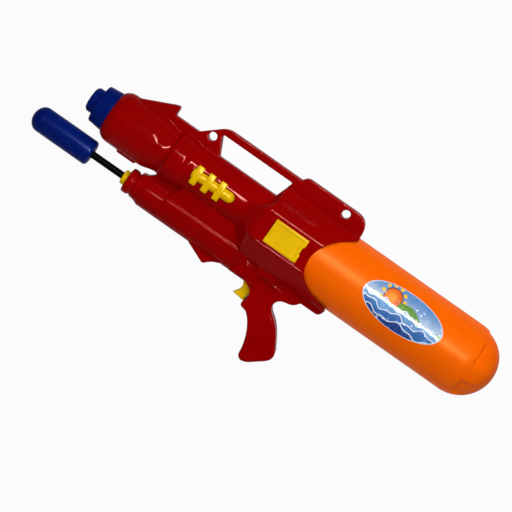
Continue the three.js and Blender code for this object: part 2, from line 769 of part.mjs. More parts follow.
function pumpHandle() {
  const edge = 3.5;
  const steps = 5;
  const profile = [];
  for (let i = 0; i <= steps; i++) {
    const turn = (i / steps) * Math.PI / 2;
    profile.push([handleFrontX + handleDome * (1 - Math.cos(turn)), handleRadius * Math.sin(turn)]);
  }
  profile.push(
    [handleRearX - edge, handleRadius], [handleRearX - edge / 3, handleRadius - edge / 3], [handleRearX, handleRadius - edge],
    [handleRearX, rodBore], [rodFrontX - fit, rodBore], [rodFrontX - fit, 0],
  );
  return turned(profile, pumpZ);
}

const pumpRod = () => rod(rodFrontX, pistonX + rodSink, rodRadius, pumpZ, innerSides);

function pumpBush() {
  const edge = 1.6;
  const rear = cylinderFrontX + bushPlugLength;
  return turned([
    [bushFrontX, rodBore], [bushFrontX, bushRadius - edge], [bushFrontX + edge, bushRadius], [cylinderFrontX, bushRadius],
    [cylinderFrontX, plugRadius], [rear, plugRadius], [rear, rodBore], [bushFrontX, rodBore],
  ], pumpZ, innerSides);
}

function pumpCylinder() {
  const spigotX = cylinderRearX + 2 * spigotLength;
  return turned([
    [cylinderFrontX, cylinderBore], [cylinderFrontX, cylinderRadius], [cylinderRearX, cylinderRadius],
    [cylinderRearX, hoseRadius], [spigotX, hoseRadius], [spigotX, hoseBore], [cylinderRearX - cylinderFloor, hoseBore],
    [cylinderRearX - cylinderFloor, cylinderBore], [cylinderFrontX, cylinderBore],
  ], pumpZ, innerSides);
}

const grooveDepth = 1.8;
const grooveX = pistonX + (pistonLength - ringThick) / 2;

function piston() {
  const [g0, g1] = [grooveX - fit, grooveX + ringThick + fit];
  const floor = pistonX + rodSink + fit;
  return turned([
    [pistonX, rodBore], [pistonX, plugRadius], [g0, plugRadius], [g0, plugRadius - grooveDepth],
    [g1, plugRadius - grooveDepth], [g1, plugRadius], [pistonX + pistonLength, plugRadius], [pistonX + pistonLength, 0],
    [floor, 0], [floor, rodBore], [pistonX, rodBore],
  ], pumpZ, innerSides);
}

const pistonRing = () => (
  tube(grooveX, grooveX + ringThick, cylinderBore - fit / 2, plugRadius - grooveDepth + fit, pumpZ, innerSides));

function pumpFlap() {
  const rear = cylinderRearX - cylinderFloor - fit;
  return rod(rear - flapThick, rear, cylinderBore - 2, pumpZ, innerSides);
}

// Trigger and valve
const armHalf = 3;
const padBackX = pivotX + 7.6;

function trigger() {
  const pad = new THREE.Shape();
  pad.moveTo(pivotX - triggerEye, pivotZ);
  pad.lineTo(pivotX - 7.2, pivotZ - 13);
  pad.quadraticCurveTo(pivotX - 3, pivotZ - 18.5, pivotX - 6.4, pivotZ - 25);
  pad.lineTo(pivotX - 10.2, pivotZ - 30.4);
  pad.lineTo(pivotX + 4.6, pivotZ - 32.2);
  pad.quadraticCurveTo(padBackX, pivotZ - 25, padBackX, pivotZ - 18);
  pad.lineTo(pivotX + triggerEye, pivotZ);
  const arm = slab([
    [pivotX - armHalf, pivotZ], [pivotX + armHalf, pivotZ], [pivotX + armHalf, stemZ], [pivotX - armHalf, stemZ],
  ], -triggerHalf, triggerHalf);
  const body = joined(
    slab(pad, -triggerHalf, triggerHalf, 1), arm, post(pivotX, pivotZ, triggerEye, -triggerHalf, triggerHalf),
    post(pivotX, stemZ, noseRadius, -triggerHalf, triggerHalf),
  );
  return body.subtract(post(pivotX, pivotZ, pinRadius + fit, -openSide, openSide));
}

const triggerPin = () => post(pivotX, pivotZ, pinRadius, -pinHalf, pinHalf);

function triggerSpring() {
  const [, seatX, seatZ] = screwPlaces.find(([name]) => name === 'grip_upper');
  return spring(padBackX + fit, seatX - screwBoss - fit, seatZ, 3.2, 0.6, 4);
}

const valveFloor = 4;
const inletX = -131;
const inletTopZ = 98;

// A round post along Z
function upright(x, y, z0, z1, radius) {
  const geometry = new THREE.CylinderGeometry(radius, radius, z1 - z0, smallSides);
  geometry.rotateX(Math.PI / 2);
  geometry.translate(x, y, (z0 + z1) / 2);
  return solid(geometry);
}

function valveBody() {
  const rear = valveRearX - valveFloor;
  const shank = stemRadius + fit;
  const front = valveFrontX + valveFloor;
  const body = turned([
    [valveFrontX, hoseBore], [valveFrontX, valveRadius], [valveRearX, valveRadius], [valveRearX, shank],
    [rear, shank], [rear, valveBore], [front, valveBore], [front, hoseBore], [valveFrontX, hoseBore],
  ], stemZ, innerSides);
  const inlet = upright(inletX, 0, stemZ + valveBore + 1, inletTopZ, hoseRadius);
  return body.add(inlet).subtract(upright(inletX, 0, stemZ, inletTopZ + 1, hoseBore));
}

function valveStem() {
  const head = valveBore - fit;
  const neck = stemHeadX + stemHeadLength;
  const end = pivotX - noseRadius - fit;
  return turned([
    [stemHeadX, 0], [stemHeadX, head], [neck, head], [neck, stemRadius], [end, stemRadius], [end, 0],
  ], stemZ, innerSides);
}

function stemSeal() {
  const rear = valveRearX - valveFloor - fit;
  return tube(rear - sealThick, rear, valveBore - fit, stemRadius + fit / 2, stemZ, innerSides);
}

const valveSpring = () => spring(valveFrontX + valveFloor + fit, stemHeadX - fit, stemZ, 3.6, 0.6, 5);

// Tank
function tankSkin(shrink, domeSteps) {
  const radius = tankRadius - shrink;
  const neck = shrink ? neckRadiusIn : neckRadiusOut;
  const rows = [{ x: neckFrontX, radius: () => neck }];
  const shoulderSteps = 3;
  for (let i = 0; i <= shoulderSteps; i++) {
    const turn = (i / shoulderSteps) * Math.PI / 2;
    const x = THREE.MathUtils.lerp(shoulderX, tankBodyX, 1 - Math.cos(turn)) + shrink;
    rows.push({ x, radius: () => THREE.MathUtils.lerp(neck, radius, Math.sin(turn)) });
  }
  const domeReach = (x) => Math.sqrt(Math.max(0, radius ** 2 - (x - domeX) ** 2));
  const dented = (x) => (angle) => {
    const pitch = 2 * Math.PI / dentCount;
    const off = THREE.MathUtils.euclideanModulo(angle - dentTurn + pitch / 2, pitch) - pitch / 2;
    const across = Math.cos(Math.min(1, Math.abs(off) / dentHalfAngle) * Math.PI / 2) ** 2;
    const along = THREE.MathUtils.clamp((dentRearX - x) / (dentRearX - dentFrontX), 0, 1);
    return domeReach(x) - dentDepth * across * along;
  };
  rows.push({ x: domeX, radius: () => radius });
  rows.push({ x: dentFrontX, radius: () => domeReach(dentFrontX) });
  const tip = domeX + radius;
  for (let i = 0; i < domeSteps; i++) {
    const x = THREE.MathUtils.lerp(dentFrontX + 0.8, tip, Math.sin((i / domeSteps) * Math.PI / 2));
    rows.push({ x, radius: dented(x) });
  }
  const tipRadius = 3;
  rows.push({ x: tip, radius: () => tipRadius });
  return lofted(rows, tankSides);
}

function tank() {
  const mouth = rod(neckFrontX - wall, neckFrontX + wall, neckRadiusIn, barrelZ, tankSides);
  return less(tankSkin(0, 6), tankSkin(tankWall, 4), mouth);
}

// The sticker is made about the axis and turned with its mesh
function sticker() {
  const oval = new THREE.Shape();
  oval.absellipse(stickerX, 0, stickerHalfLength, stickerHalfWidth, 0, 2 * Math.PI, false, 0);
  const inner = tankRadius + fit / 2;
  const band = tube(stickerX - tankRadius * 2, stickerX + tankRadius * 2, inner + stickerThick, inner, 0, tankSides);
  return band.intersect(slab(oval, -openSide, 0));
}

// Tank socket with its three spigots
function socket() {
  const inner = clearOf(neckRadiusOut + fit, innerSides);
  const floor = socketFrontX + socketFloor;
  const flange = socketRadius + 3;
  const [r0, r1] = [socketRibX - fit, socketRibX + ribThick + fit];
  const cup = turned([
    [socketFrontX, 0], [socketFrontX, flange], [r0, flange], [r0, socketRadius], [r1, socketRadius], [r1, flange],
    [r1 + 2, flange], [r1 + 2, socketRadius], [socketRearX, socketRadius], [socketRearX, inner], [floor, inner], [floor, 0],
  ], barrelZ, innerSides);
  const along = (x0, x1, [y, z], radius) => {
    const geometry = new THREE.CylinderGeometry(radius, radius, x1 - x0, smallSides);
    geometry.rotateZ(Math.PI / 2);
    geometry.translate((x0 + x1) / 2, y, z);
    return solid(geometry);
  };
  const front = socketFrontX - spigotLength;
  const rear = floor + spigotLength;
  const spigots = [
    along(front, floor - 1, supplyPort, hoseRadius), along(front, floor - 1, pumpPort, hoseRadius),
    along(floor - 1, rear, pickupPort, hoseRadius),
  ];
  const bores = [
    along(front - 1, floor + 1, supplyPort, hoseBore), along(front - 1, floor + 1, pumpPort, hoseBore),
    along(floor - 1.5, rear + 1, pickupPort, hoseBore),
  ];
  return less(joined(cup, ...spigots), ...bores);
}

function neckSeal() {
  return tube(socketFrontX + socketFloor + fit, neckFrontX - fit, neckRadiusOut, neckRadiusOut - 5, barrelZ, innerSides);
}

// Hoses: each runs between the ends of two spigots
const portX = socketFrontX - spigotLength - fit;

function supplyHose() {
  const [y, z] = supplyPort;
  return hose([
    [portX, y, z], [portX - 4, y, z], [portX - 20, y, z], [portX - 40, y, z - 1], [inletX + 7, y, z - 6], [inletX - 0.4, 0, z - 16],
    [inletX, 0, inletTopZ + 4], [inletX, 0, inletTopZ + 2], [inletX, 0, inletTopZ + fit],
  ], hoseRadius, hoseBore, 14, 6);
}

function pumpHose() {
  const [y, z] = pumpPort;
  const start = cylinderRearX + 2 * spigotLength + fit;
  return hose([
    [start, 0, pumpZ], [start + 2, 0, pumpZ], [start + 5, 0.3, pumpZ + 0.3], [portX - 17.7, y / 4, pumpZ + 4.6],
    [portX - 13.7, y / 2 + 0.5, pumpZ + 13.6], [portX - 13.7, y - 2, z - 18], [portX - 11.7, y, z - 5.5],
    [portX - 6.7, y, z - 0.3], [portX - 3, y, z], [portX - 1.5, y, z], [portX, y, z],
  ], hoseRadius, hoseBore, 20, 6);
}

function pickupTube() {
  const [y, z] = pickupPort;
  const start = socketFrontX + socketFloor + spigotLength + fit;
  const lowZ = barrelZ - tankRadius + tankWall + hoseRadius + 1;
  const fall = (x, share) => [x, y, THREE.MathUtils.lerp(z, lowZ, share)];
  const endX = domeX - 14;
  return hose([
    [start, y, z], [start + 2, y, z], [start + 4, y, z], fall(shoulderX + 4, 0.04), fall(tankBodyX, 0.24),
    fall(tankBodyX + 38, 0.7), fall(tankBodyX + 80, 0.94), fall(endX - 85, 0.99), fall(endX - 45, 1), fall(endX, 1),
  ], hoseRadius, hoseBore, 16, 6);
}

function screw(x, z) {
  const seat = screwSeatY + fit;
  const shank = post(x, z, screwRadius, screwSeatY - screwLength, seat + 0.5, 8);
  return shank.add(post(x, z, screwHeadRadius, seat, seat + screwHeadThick));
}

// The whole squirter
const squirter = new THREE.Group();

function add(name, body, colour, parent = squirter) {
  const mesh = body.getMesh();
  const geometry = new THREE.BufferGeometry();
  geometry.setAttribute('position', new THREE.BufferAttribute(mesh.vertProperties, 3));
  geometry.setIndex(new THREE.BufferAttribute(mesh.triVerts, 1));
  geometry.computeVertexNormals();
  const [color, roughness] = colours[colour];
  const material = new THREE.MeshStandardMaterial({ color, roughness, metalness: colour === 'steel' ? 1 : 0 });
  const piece = new THREE.Mesh(geometry, material);
  piece.name = name;
  parent.add(piece);
}

const shell = casing();
add('left_shell', casingHalf(shell, -1), 'red');
add('right_shell', casingHalf(shell, 1), 'red');
for (const [side, hand] of [[-1, 'left'], [1, 'right']]) {
  add(`${hand}_ribbed_insert`, ribbedInsert(side), 'yellow');
  add(`${hand}_side_plate`, sidePlate(side), 'yellow');
}
for (const [name, x, z] of screwPlaces) add(`screw_${name}`, screw(x, z), 'steel');

add('nozzle', nozzle(), 'blue');
add('nozzle_seal', nozzleSeal(), 'rubber');
add('outlet_pipe', outletPipe(), 'white');

add('pump_handle', pumpHandle(), 'blue');
add('pump_rod', pumpRod(), 'black');
add('pump_bush', pumpBush(), 'yellow');
add('pump_cylinder', pumpCylinder(), 'white');
add('piston', piston(), 'white');
add('piston_ring', pistonRing(), 'rubber');
add('pump_flap', pumpFlap(), 'rubber');

add('trigger', trigger(), 'yellow');
add('trigger_pin', triggerPin(), 'steel');
add('trigger_spring', triggerSpring(), 'steel');
add('valve_body', valveBody(), 'white');
add('valve_stem', valveStem(), 'white');
add('stem_seal', stemSeal(), 'rubber');
add('valve_spring', valveSpring(), 'steel');

add('tank', tank(), 'orange');
const stickerTurn = new THREE.Group();
stickerTurn.position.z = barrelZ;
stickerTurn.rotation.x = -stickerTilt;
squirter.add(stickerTurn);
add('tank_sticker', sticker(), 'sticker', stickerTurn);
add('tank_socket', socket(), 'white');
add('neck_seal', neckSeal(), 'rubber');
add('supply_hose', supplyHose(), 'white');
add('pump_hose', pumpHose(), 'white');
add('pickup_tube', pickupTube(), 'white');

export default squirter;
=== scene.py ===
import bpy, bmesh
from math import pi, sin, cos, atan2, sqrt, radians
from mathutils import Matrix, Vector


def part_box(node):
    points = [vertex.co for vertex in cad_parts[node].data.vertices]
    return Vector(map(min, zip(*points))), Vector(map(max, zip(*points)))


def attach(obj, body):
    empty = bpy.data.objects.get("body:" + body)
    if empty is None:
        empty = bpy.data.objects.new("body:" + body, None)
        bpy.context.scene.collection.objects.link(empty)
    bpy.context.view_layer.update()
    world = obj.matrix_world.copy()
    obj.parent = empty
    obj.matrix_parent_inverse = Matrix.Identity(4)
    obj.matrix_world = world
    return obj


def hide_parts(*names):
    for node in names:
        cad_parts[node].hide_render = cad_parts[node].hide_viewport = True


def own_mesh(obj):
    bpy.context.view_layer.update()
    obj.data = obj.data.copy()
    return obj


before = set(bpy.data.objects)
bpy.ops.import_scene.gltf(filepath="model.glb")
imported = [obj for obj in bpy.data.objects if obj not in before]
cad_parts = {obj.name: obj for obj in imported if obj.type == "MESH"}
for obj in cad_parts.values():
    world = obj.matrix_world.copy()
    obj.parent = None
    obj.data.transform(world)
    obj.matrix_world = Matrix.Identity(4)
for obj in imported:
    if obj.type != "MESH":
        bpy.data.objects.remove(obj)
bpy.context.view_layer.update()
mm = 0.001
barrelZ, pumpZ = 117.0, 61.4   # the two long axes, in millimetres above the origin in the grip
openSide = 60                  # a cut right through reaches this far to each side, in millimetres
weld, tiny = 2e-6, 1e-6        # points nearer than weld become one; a length under tiny is none, in metres
print("frame loaded:", len(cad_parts), "nodes")


# mesh tools: outlines and profiles are in millimetres, meshes in metres

def trace(steps, detail=10):
    # a side outline: (x, z) is a line to a point, (cx, cz, x, z) a curve to it by way of (cx, cz)
    points = []
    for step in steps:
        if len(step) == 2:
            points.append(step)
            continue
        (x0, z0), (cx, cz, x1, z1) = points[-1], step
        for i in range(1, detail + 1):
            t = i / detail
            points.append(((1 - t) ** 2 * x0 + 2 * t * (1 - t) * cx + t * t * x1,
                           (1 - t) ** 2 * z0 + 2 * t * (1 - t) * cz + t * t * z1))
    return points


def smoothThrough(points, detail=6):
    # a smooth line through the points
    ends = [points[0], *points, points[-1]]
    line = []
    for p0, p1, p2, p3 in zip(ends, ends[1:], ends[2:], ends[3:]):
        for i in range(detail):
            t = i / detail
            line.append(tuple(0.5 * (2 * b + (c - a) * t + (2 * a - 5 * b + 4 * c - d) * t ** 2
                                     + (3 * b - a - 3 * c + d) * t ** 3) for a, b, c, d in zip(p0, p1, p2, p3)))
    return line + [points[-1]]


def arc(x, r, radius, start, end, detail):
    # part of a circle in a turned profile, angles in degrees from the +X direction
    turns = [radians(start + (end - start) * i / detail) for i in range(detail + 1)]
    return [(x + radius * cos(t), r + radius * sin(t)) for t in turns]


def tidyMesh(bm):
    bmesh.ops.remove_doubles(bm, verts=bm.verts, dist=weld)
    bmesh.ops.recalc_face_normals(bm, faces=bm.faces)
    return bm


def lathe(profile, axisZ, steps):
    # a profile of (x, radius) spun about an axis along X
    bm = bmesh.new()
    verts = [bm.verts.new((x * mm, 0, (axisZ + r) * mm)) for x, r in profile]
    edges = [bm.edges.new(pair) for pair in zip(verts, verts[1:])
             if (pair[0].co - pair[1].co).length > tiny]
    bmesh.ops.spin(bm, geom=verts + edges, cent=(0, 0, axisZ * mm), axis=(1, 0, 0),
                   angle=2 * pi, steps=steps, use_merge=True)
    return tidyMesh(bm)


def rod(x0, x1, radius, axisZ, steps):
    return lathe([(x0, 0), (x0, radius), (x1, radius), (x1, 0)], axisZ, steps)


def extruded(bm, face, move):
    made = bmesh.ops.extrude_face_region(bm, geom=[face])["geom"]
    bmesh.ops.translate(bm, verts=[v for v in made if isinstance(v, bmesh.types.BMVert)], vec=move)
    bmesh.ops.recalc_face_normals(bm, faces=bm.faces)


def roundEdges(bm, edges, size, segments=3):
    bmesh.ops.bevel(bm, geom=list(edges), offset=size * mm, offset_type="OFFSET", affect="EDGES",
                    segments=segments, profile=0.5, material=-1, clamp_overlap=True)


def acrossEdges(bm):
    # the edges that run along Y
    return [e for e in bm.edges if abs(e.verts[0].co.y - e.verts[1].co.y) > tiny]


def slab(outline, y0, y1, rounding=0.0, segments=3):
    # a side outline made solid from y0 to y1, with its two rims rounded
    bm = bmesh.new()
    face = bm.faces.new([bm.verts.new((x * mm, y0 * mm, z * mm)) for x, z in outline])
    extruded(bm, face, (0, (y1 - y0) * mm, 0))
    if rounding:
        across = set(acrossEdges(bm))
        roundEdges(bm, [e for e in bm.edges if e not in across], rounding, segments)
    return tidyMesh(bm)


def centred(outline, half, rounding=0.0, segments=3):
    return slab(outline, -half, half, rounding, segments)


def oblong(x0, x1, z0, z1):
    return [(x0, z0), (x1, z0), (x1, z1), (x0, z1)]


def beam(section, x0, x1):
    # a cross section of (y, z) points, made solid from x0 to x1
    bm = bmesh.new()
    face = bm.faces.new([bm.verts.new((x0 * mm, y * mm, z * mm)) for y, z in section])
    extruded(bm, face, ((x1 - x0) * mm, 0, 0))
    return tidyMesh(bm)


def mirrored(half):
    # a half section from the top down, and its mirror image
    return half + [(-y, z) for y, z in reversed(half)]


def onSide(section, side):
    # a section drawn for the +Y side, put on the given side
    return [(side * y, z) for y, z in section]


def block(x0, x1, y0, y1, z0, z1, rounding=0.0):
    bm = bmesh.new()
    bmesh.ops.create_cube(bm, size=1)
    bmesh.ops.scale(bm, verts=bm.verts, vec=((x1 - x0) * mm, (y1 - y0) * mm, (z1 - z0) * mm))
    middle = ((x0 + x1) / 2 * mm, (y0 + y1) / 2 * mm, (z0 + z1) / 2 * mm)
    bmesh.ops.translate(bm, verts=bm.verts, vec=middle)
    if rounding:
        roundEdges(bm, bm.edges, rounding)
    return tidyMesh(bm)


def centredBlock(x0, x1, half, z0, z1, rounding=0.0):
    return block(x0, x1, -half, half, z0, z1, rounding)


def crossPost(x, z, radius, y0, y1, steps=32):
    # a round post along Y
    bm = bmesh.new()
    placing = Matrix.Translation((x * mm, (y0 + y1) / 2 * mm, z * mm)) @ Matrix.Rotation(pi / 2, 4, "X")
    bmesh.ops.create_cone(bm, cap_ends=True, segments=steps, radius1=radius * mm, radius2=radius * mm,
                          depth=(y1 - y0) * mm, matrix=placing)
    return tidyMesh(bm)


def ringLoft(stations, sides):
    # rings of changing outline about the barrel axis: (x, function of angle giving the radius)
    bm = bmesh.new()
    rings = []
    for x, reach in stations:
        made = bmesh.ops.create_circle(bm, segments=sides, radius=1)["verts"]
        for v in made:
            angle = atan2(v.co.y, v.co.x)
            r = reach(angle)
            v.co = (x * mm, r * cos(angle) * mm, (barrelZ + r * sin(angle)) * mm)
        rings.append({e for v in made for e in v.link_edges})
    for near, far in zip(rings, rings[1:]):
        bmesh.ops.bridge_loops(bm, edges=list(near | far))
    for ring in (rings[0], rings[-1]):
        bmesh.ops.contextual_create(bm, geom=list(ring))
    return tidyMesh(bm)


def makeObject(name, bm):
    mesh = bpy.data.meshes.new(name)
    bm.to_mesh(mesh)
    bm.free()
    made = bpy.data.objects.new(name, mesh)
    bpy.context.scene.collection.objects.link(made)
    return made


def settled(ob):
    # the object with its modifiers made part of its mesh
    depsgraph = bpy.context.evaluated_depsgraph_get()
    mesh = bpy.data.meshes.new_from_object(ob.evaluated_get(depsgraph))
    old = ob.data
    ob.modifiers.clear()
    ob.data = mesh
    bpy.data.meshes.remove(old)
    return ob


def discard(ob):
    mesh = ob.data
    bpy.data.objects.remove(ob)
    bpy.data.meshes.remove(mesh)


def combine(base, forms, operation):
    # joins to the base, or cuts from it, a list of bmeshes or objects
    helpers = [form if isinstance(form, bpy.types.Object) else makeObject("form", form) for form in forms]
    for helper in helpers:
        step = base.modifiers.new("combine", "BOOLEAN")
        step.operation, step.solver, step.object = operation, "MANIFOLD", helper
    settled(base)
    for helper in helpers:
        discard(helper)
    return base


def shade(ob, sharpAngle):
    ob.data.polygons.foreach_set("use_smooth", [True] * len(ob.data.polygons))
    ob.data.set_sharp_from_angle(angle=radians(sharpAngle))


def place(ob, finish, body, slotName, *nodes, sharpAngle=40):
    # gives a piece its finish and its body, and hides the nodes that it stands for
    ob.data.materials.clear()
    ob.data.materials.append(finish)
    shade(ob, sharpAngle)
    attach(ob, body)
    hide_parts(*nodes)
    return ob


# finishes

class Value:
    # wraps a socket, so that a sum written on it adds its Math nodes
    def __init__(self, finish, socket):
        self.finish, self.socket = finish, socket

    def maths(self, operation, *terms):
        return self.finish.node("ShaderNodeMath", {"operation": operation}, dict(enumerate(terms)))

    def __add__(self, other): return self.maths("ADD", self, other)
    def __radd__(self, other): return self.maths("ADD", other, self)
    def __sub__(self, other): return self.maths("SUBTRACT", self, other)
    def __mul__(self, other): return self.maths("MULTIPLY", self, other)
    def __rmul__(self, other): return self.maths("MULTIPLY", other, self)
    def __truediv__(self, other): return self.maths("DIVIDE", self, other)
    def __gt__(self, other): return self.maths("GREATER_THAN", self, other)
    def __lt__(self, other): return self.maths("LESS_THAN", self, other)
    def sine(self): return self.maths("SINE", self)
    def root(self): return self.maths("SQRT", self)
    def orMore(self, other): return self.maths("MAXIMUM", self, other)
    def bearing(self, across): return self.maths("ARCTAN2", self, across)
    def soft(self, low, high):
        return self.finish.node("ShaderNodeMapRange", {"interpolation_type": "SMOOTHSTEP"},
                                {"Value": self, "From Min": low, "From Max": high})

    def output(self, key):
        # another output of the same node
        return Value(self.finish, self.socket.node.outputs[key])


class Finish:
    # the nodes of a material, or of a world
    def __init__(self, owner, shader="Principled BSDF", **fixed):
        self.owner = owner
        owner.use_nodes = True
        self.tree = owner.node_tree
        self.shader = self.tree.nodes[shader]
        self.set(**fixed)

    def node(self, kind, settings, sockets, output=0):
        made = self.tree.nodes.new(kind)
        for key, value in settings.items():
            setattr(made, key, value)
        for key, value in sockets.items():
            self.join(value, made.inputs[key])
        return Value(self, made.outputs[output])

    def join(self, value, socket):
        if isinstance(value, Value):
            self.tree.links.new(value.socket, socket)
        else:
            socket.default_value = value

    def set(self, **sockets):
        for key, value in sockets.items():
            label = "".join(" " + c if c.isupper() else c for c in key).replace("I O R", "IOR")
            self.join(value, self.shader.inputs[label[0].upper() + label[1:]])
        return self

    def where(self):
        return self.node("ShaderNodeTexCoord", {}, {}, "Object")

    def noise(self, scale, detail, roughness=0.5, spot=None):
        return self.node("ShaderNodeTexNoise", {}, {"Vector": spot or self.where(), "Scale": scale,
                                                    "Detail": detail, "Roughness": roughness})

    def stretched(self, scale):
        # Object coordinates drawn out along one axis
        return self.node("ShaderNodeMapping", {}, {"Vector": self.where(), "Scale": scale})

    def blend(self, first, second, factor):
        return self.node("ShaderNodeMix", {"data_type": "RGBA"}, {0: factor, 6: first, 7: second}, 2)

    def bump(self, height, strength, distance, **under):
        return self.node("ShaderNodeBump", {}, {"Height": height, "Strength": strength,
                                                "Distance": distance, **under})

    def relief(self, noise, strength, depth, **under):
        return self.bump(self.noise(*noise), strength, depth, **under)

    def split(self, vector):
        first = self.node("ShaderNodeSeparateXYZ", {}, {0: vector}, "X")
        return first, first.output("Y"), first.output("Z")

    def seenDirectly(self, mirrorShare):
        # 1 for the camera and through glass, and a share of it in what metal and plastic mirror
        path = self.node("ShaderNodeLightPath", {}, {}, "Is Camera Ray")
        glossy = path.output("Is Glossy Ray") * mirrorShare
        return path.orMore(path.output("Is Transmission Ray")).orMore(glossy)

    def mixShaders(self, target, shown, factor):
        # the lit surface, and by the factor what is shown in its place
        mixed = self.node("ShaderNodeMixShader", {}, {0: factor, 1: Value(self, self.shader.outputs[0]), 2: shown})
        self.join(mixed, self.tree.nodes[target].inputs["Surface"])


def material(name, **fixed):
    return Finish(bpy.data.materials.new(name), **fixed)


def colour(red, green, blue):
    # a colour as picked on screen, 0 to 255
    def linear(c):
        c /= 255
        return c / 12.92 if c <= 0.04045 else ((c + 0.055) / 1.055) ** 2.4
    return (linear(red), linear(green), linear(blue), 1.0)


moulded = {   # a noise is its scale, detail and roughness, and a relief has a strength and a depth as well
    "drift": (14, 3, 0.55), "driftRange": (0.3, 0.72), "driftShare": 0.75,
    "least": 0.8, "speckle": (420, 2, 0.6), "speckleShare": 0.4,
    "rubbed": (55, 4, 0.65), "rubbedRange": (0.55, 0.8), "rubbedShare": 0.6,
    "sink": ((26, 1.5, 0.4), 0.08, 0.0012), "grain": (2600, 1, 0.5), "grainDepth": 0.0001,
}
plastics = {   # two colours, roughness, the colour and level of the gloss, and the strength of the grain
    "casingRed": ((142, 0, 1), (128, 0, 0), 0.08, (255, 165, 155), 0.042, 0.03),
    "partBlue": ((2, 23, 98), (0, 16, 81), 0.24, (150, 170, 255), 0.06, 0.05),
    "trimYellow": ((220, 176, 0), (206, 161, 0), 0.24, (255, 235, 130), 0.075, 0.05),
    "innerWhite": ((226, 226, 220), (206, 206, 200), 0.38, (255, 255, 255), 0.042, 0.06),
    "sealRubber": ((30, 30, 32), (20, 20, 22), 0.66, (255, 255, 255), 0.042, 0.2),
}


def mouldedPlastic(p, name, main, deep, gloss, tint, level, grain):
    # injection moulded plastic: slow tone drift, fine speckle in the gloss, sink marks and a faint grain
    finish = material(name, specularTint=colour(*tint), specularIORLevel=level)
    drift = finish.noise(*p["drift"]).soft(*p["driftRange"])
    fine = finish.noise(*p["speckle"])
    rubbed = finish.noise(*p["rubbed"]).soft(*p["rubbedRange"])
    finish.set(baseColor=finish.blend(colour(*main), colour(*deep), drift * p["driftShare"]),
               roughness=gloss * (p["least"] + p["speckleShare"] * fine + p["rubbedShare"] * rubbed))
    dips = finish.relief(*p["sink"])
    return finish.set(normal=finish.relief(p["grain"], grain, p["grainDepth"], Normal=dips)).owner


waxy = {
    "main": (235, 96, 0), "streaked": (225, 85, 0), "pale": (239, 104, 2), "tint": (255, 180, 100), "level": 0.05,
    "streak": (5, 60, 60), "flow": (1.0, 4, 0.6), "flowRange": (0.3, 0.75), "flowShare": 0.6,
    "cloud": (9, 3, 0.5), "cloudRange": (0.25, 0.8), "cloudShare": 0.35,
    "gloss": 0.28, "speckle": (90, 3, 0.6), "speckleShare": 0.07, "flowGloss": 0.05,
    "sink": ((18, 2, 0.5), 0.3, 0.0012), "grain": ((900, 2, 0.6), 0.06, 0.0002),
}


def tankPlastic(p):
    # blow moulded: waxier than the casing, with long flow streaks and a soft sheen
    finish = material("tankOrange", specularTint=colour(*p["tint"]), specularIORLevel=p["level"])
    flow = finish.noise(*p["flow"], finish.stretched(p["streak"])).soft(*p["flowRange"])
    cloud = finish.noise(*p["cloud"]).soft(*p["cloudRange"])
    tone = finish.blend(colour(*p["main"]), colour(*p["streaked"]), flow * p["flowShare"])
    speckle = p["speckleShare"] * finish.noise(*p["speckle"])
    finish.set(baseColor=finish.blend(tone, colour(*p["pale"]), cloud * p["cloudShare"]),
               roughness=p["gloss"] + speckle + p["flowGloss"] * flow)
    return finish.set(normal=finish.relief(*p["grain"], Normal=finish.relief(*p["sink"]))).owner


drawnBlack = {"main": (3, 3, 4), "pale": (9, 9, 10), "level": 0.006, "streak": (6, 700, 700),
              "drawn": (1.0, 3, 0.6), "gloss": 0.35, "drawnGloss": 0.2, "lines": (0.04, 0.0003)}


def rodPlastic(p):
    # an extruded rod, with fine lines along it
    finish = material("rodBlack", specularIORLevel=p["level"])
    drawn = finish.noise(*p["drawn"], finish.stretched(p["streak"]))
    finish.set(baseColor=finish.blend(colour(*p["main"]), colour(*p["pale"]), drawn),
               roughness=p["gloss"] + p["drawnGloss"] * drawn)
    return finish.set(normal=finish.bump(drawn, *p["lines"])).owner


steel = {"bright": (190, 190, 194), "dull": (142, 140, 138), "worn": (160, 3, 0.6), "gloss": 0.22, "wornGloss": 0.2,
         "pits": ((1500, 2, 0.5), 0.08, 0.0002)}


def steelWire(p):
    finish = material("springSteel", metallic=1.0)
    worn = finish.noise(*p["worn"])
    finish.set(baseColor=finish.blend(colour(*p["bright"]), colour(*p["dull"]), worn),
               roughness=p["gloss"] + p["wornGloss"] * worn)
    return finish.set(normal=finish.relief(*p["pits"])).owner


casingRed, partBlue, trimYellow, innerWhite, sealRubber = [
    mouldedPlastic(moulded, name, *look) for name, look in plastics.items()]
tankOrange, rodBlack, springSteel = tankPlastic(waxy), rodPlastic(drawnBlack), steelWire(steel)
print("finishes made")


# yellow trim: outlines of the ribbed insert in each barrel window and of the plate on each flat,
# which also cut their seats in the casing

insert = {"frontX": -178, "rearX": -119, "half": 6.6, "proud": 3.6, "sunk": 3, "nose": 1.2, "collars": 3,
          "collarInset": 2.4, "collarWidth": 8.4, "collarPitch": 16.2, "collarHalfAngle": 21, "collarGap": 0.25,
          "collarProud": 4.9, "collarRound": 1.1, "rimAngle": 0.6}
plate = {"frontX": -64.1, "rearX": -18.5, "half": 15.5, "drop": 0.8, "notchHalf": 5.4, "notchDepth": 1.8,
         "notchSlope": 1, "proud": 1.8, "seat": 0.9, "rounding": 0.7, "panelInset": 2.8, "panelSlope": 0.5,
         "panelDepth": 0.8}


def insertOutline(p, grow):
    front, half = p["frontX"] - grow, p["half"] + grow
    end = arc(p["rearX"] - p["half"], barrelZ, half, -90, 90, 12)
    return [(front, barrelZ - half)] + end + [(front, barrelZ + half)]


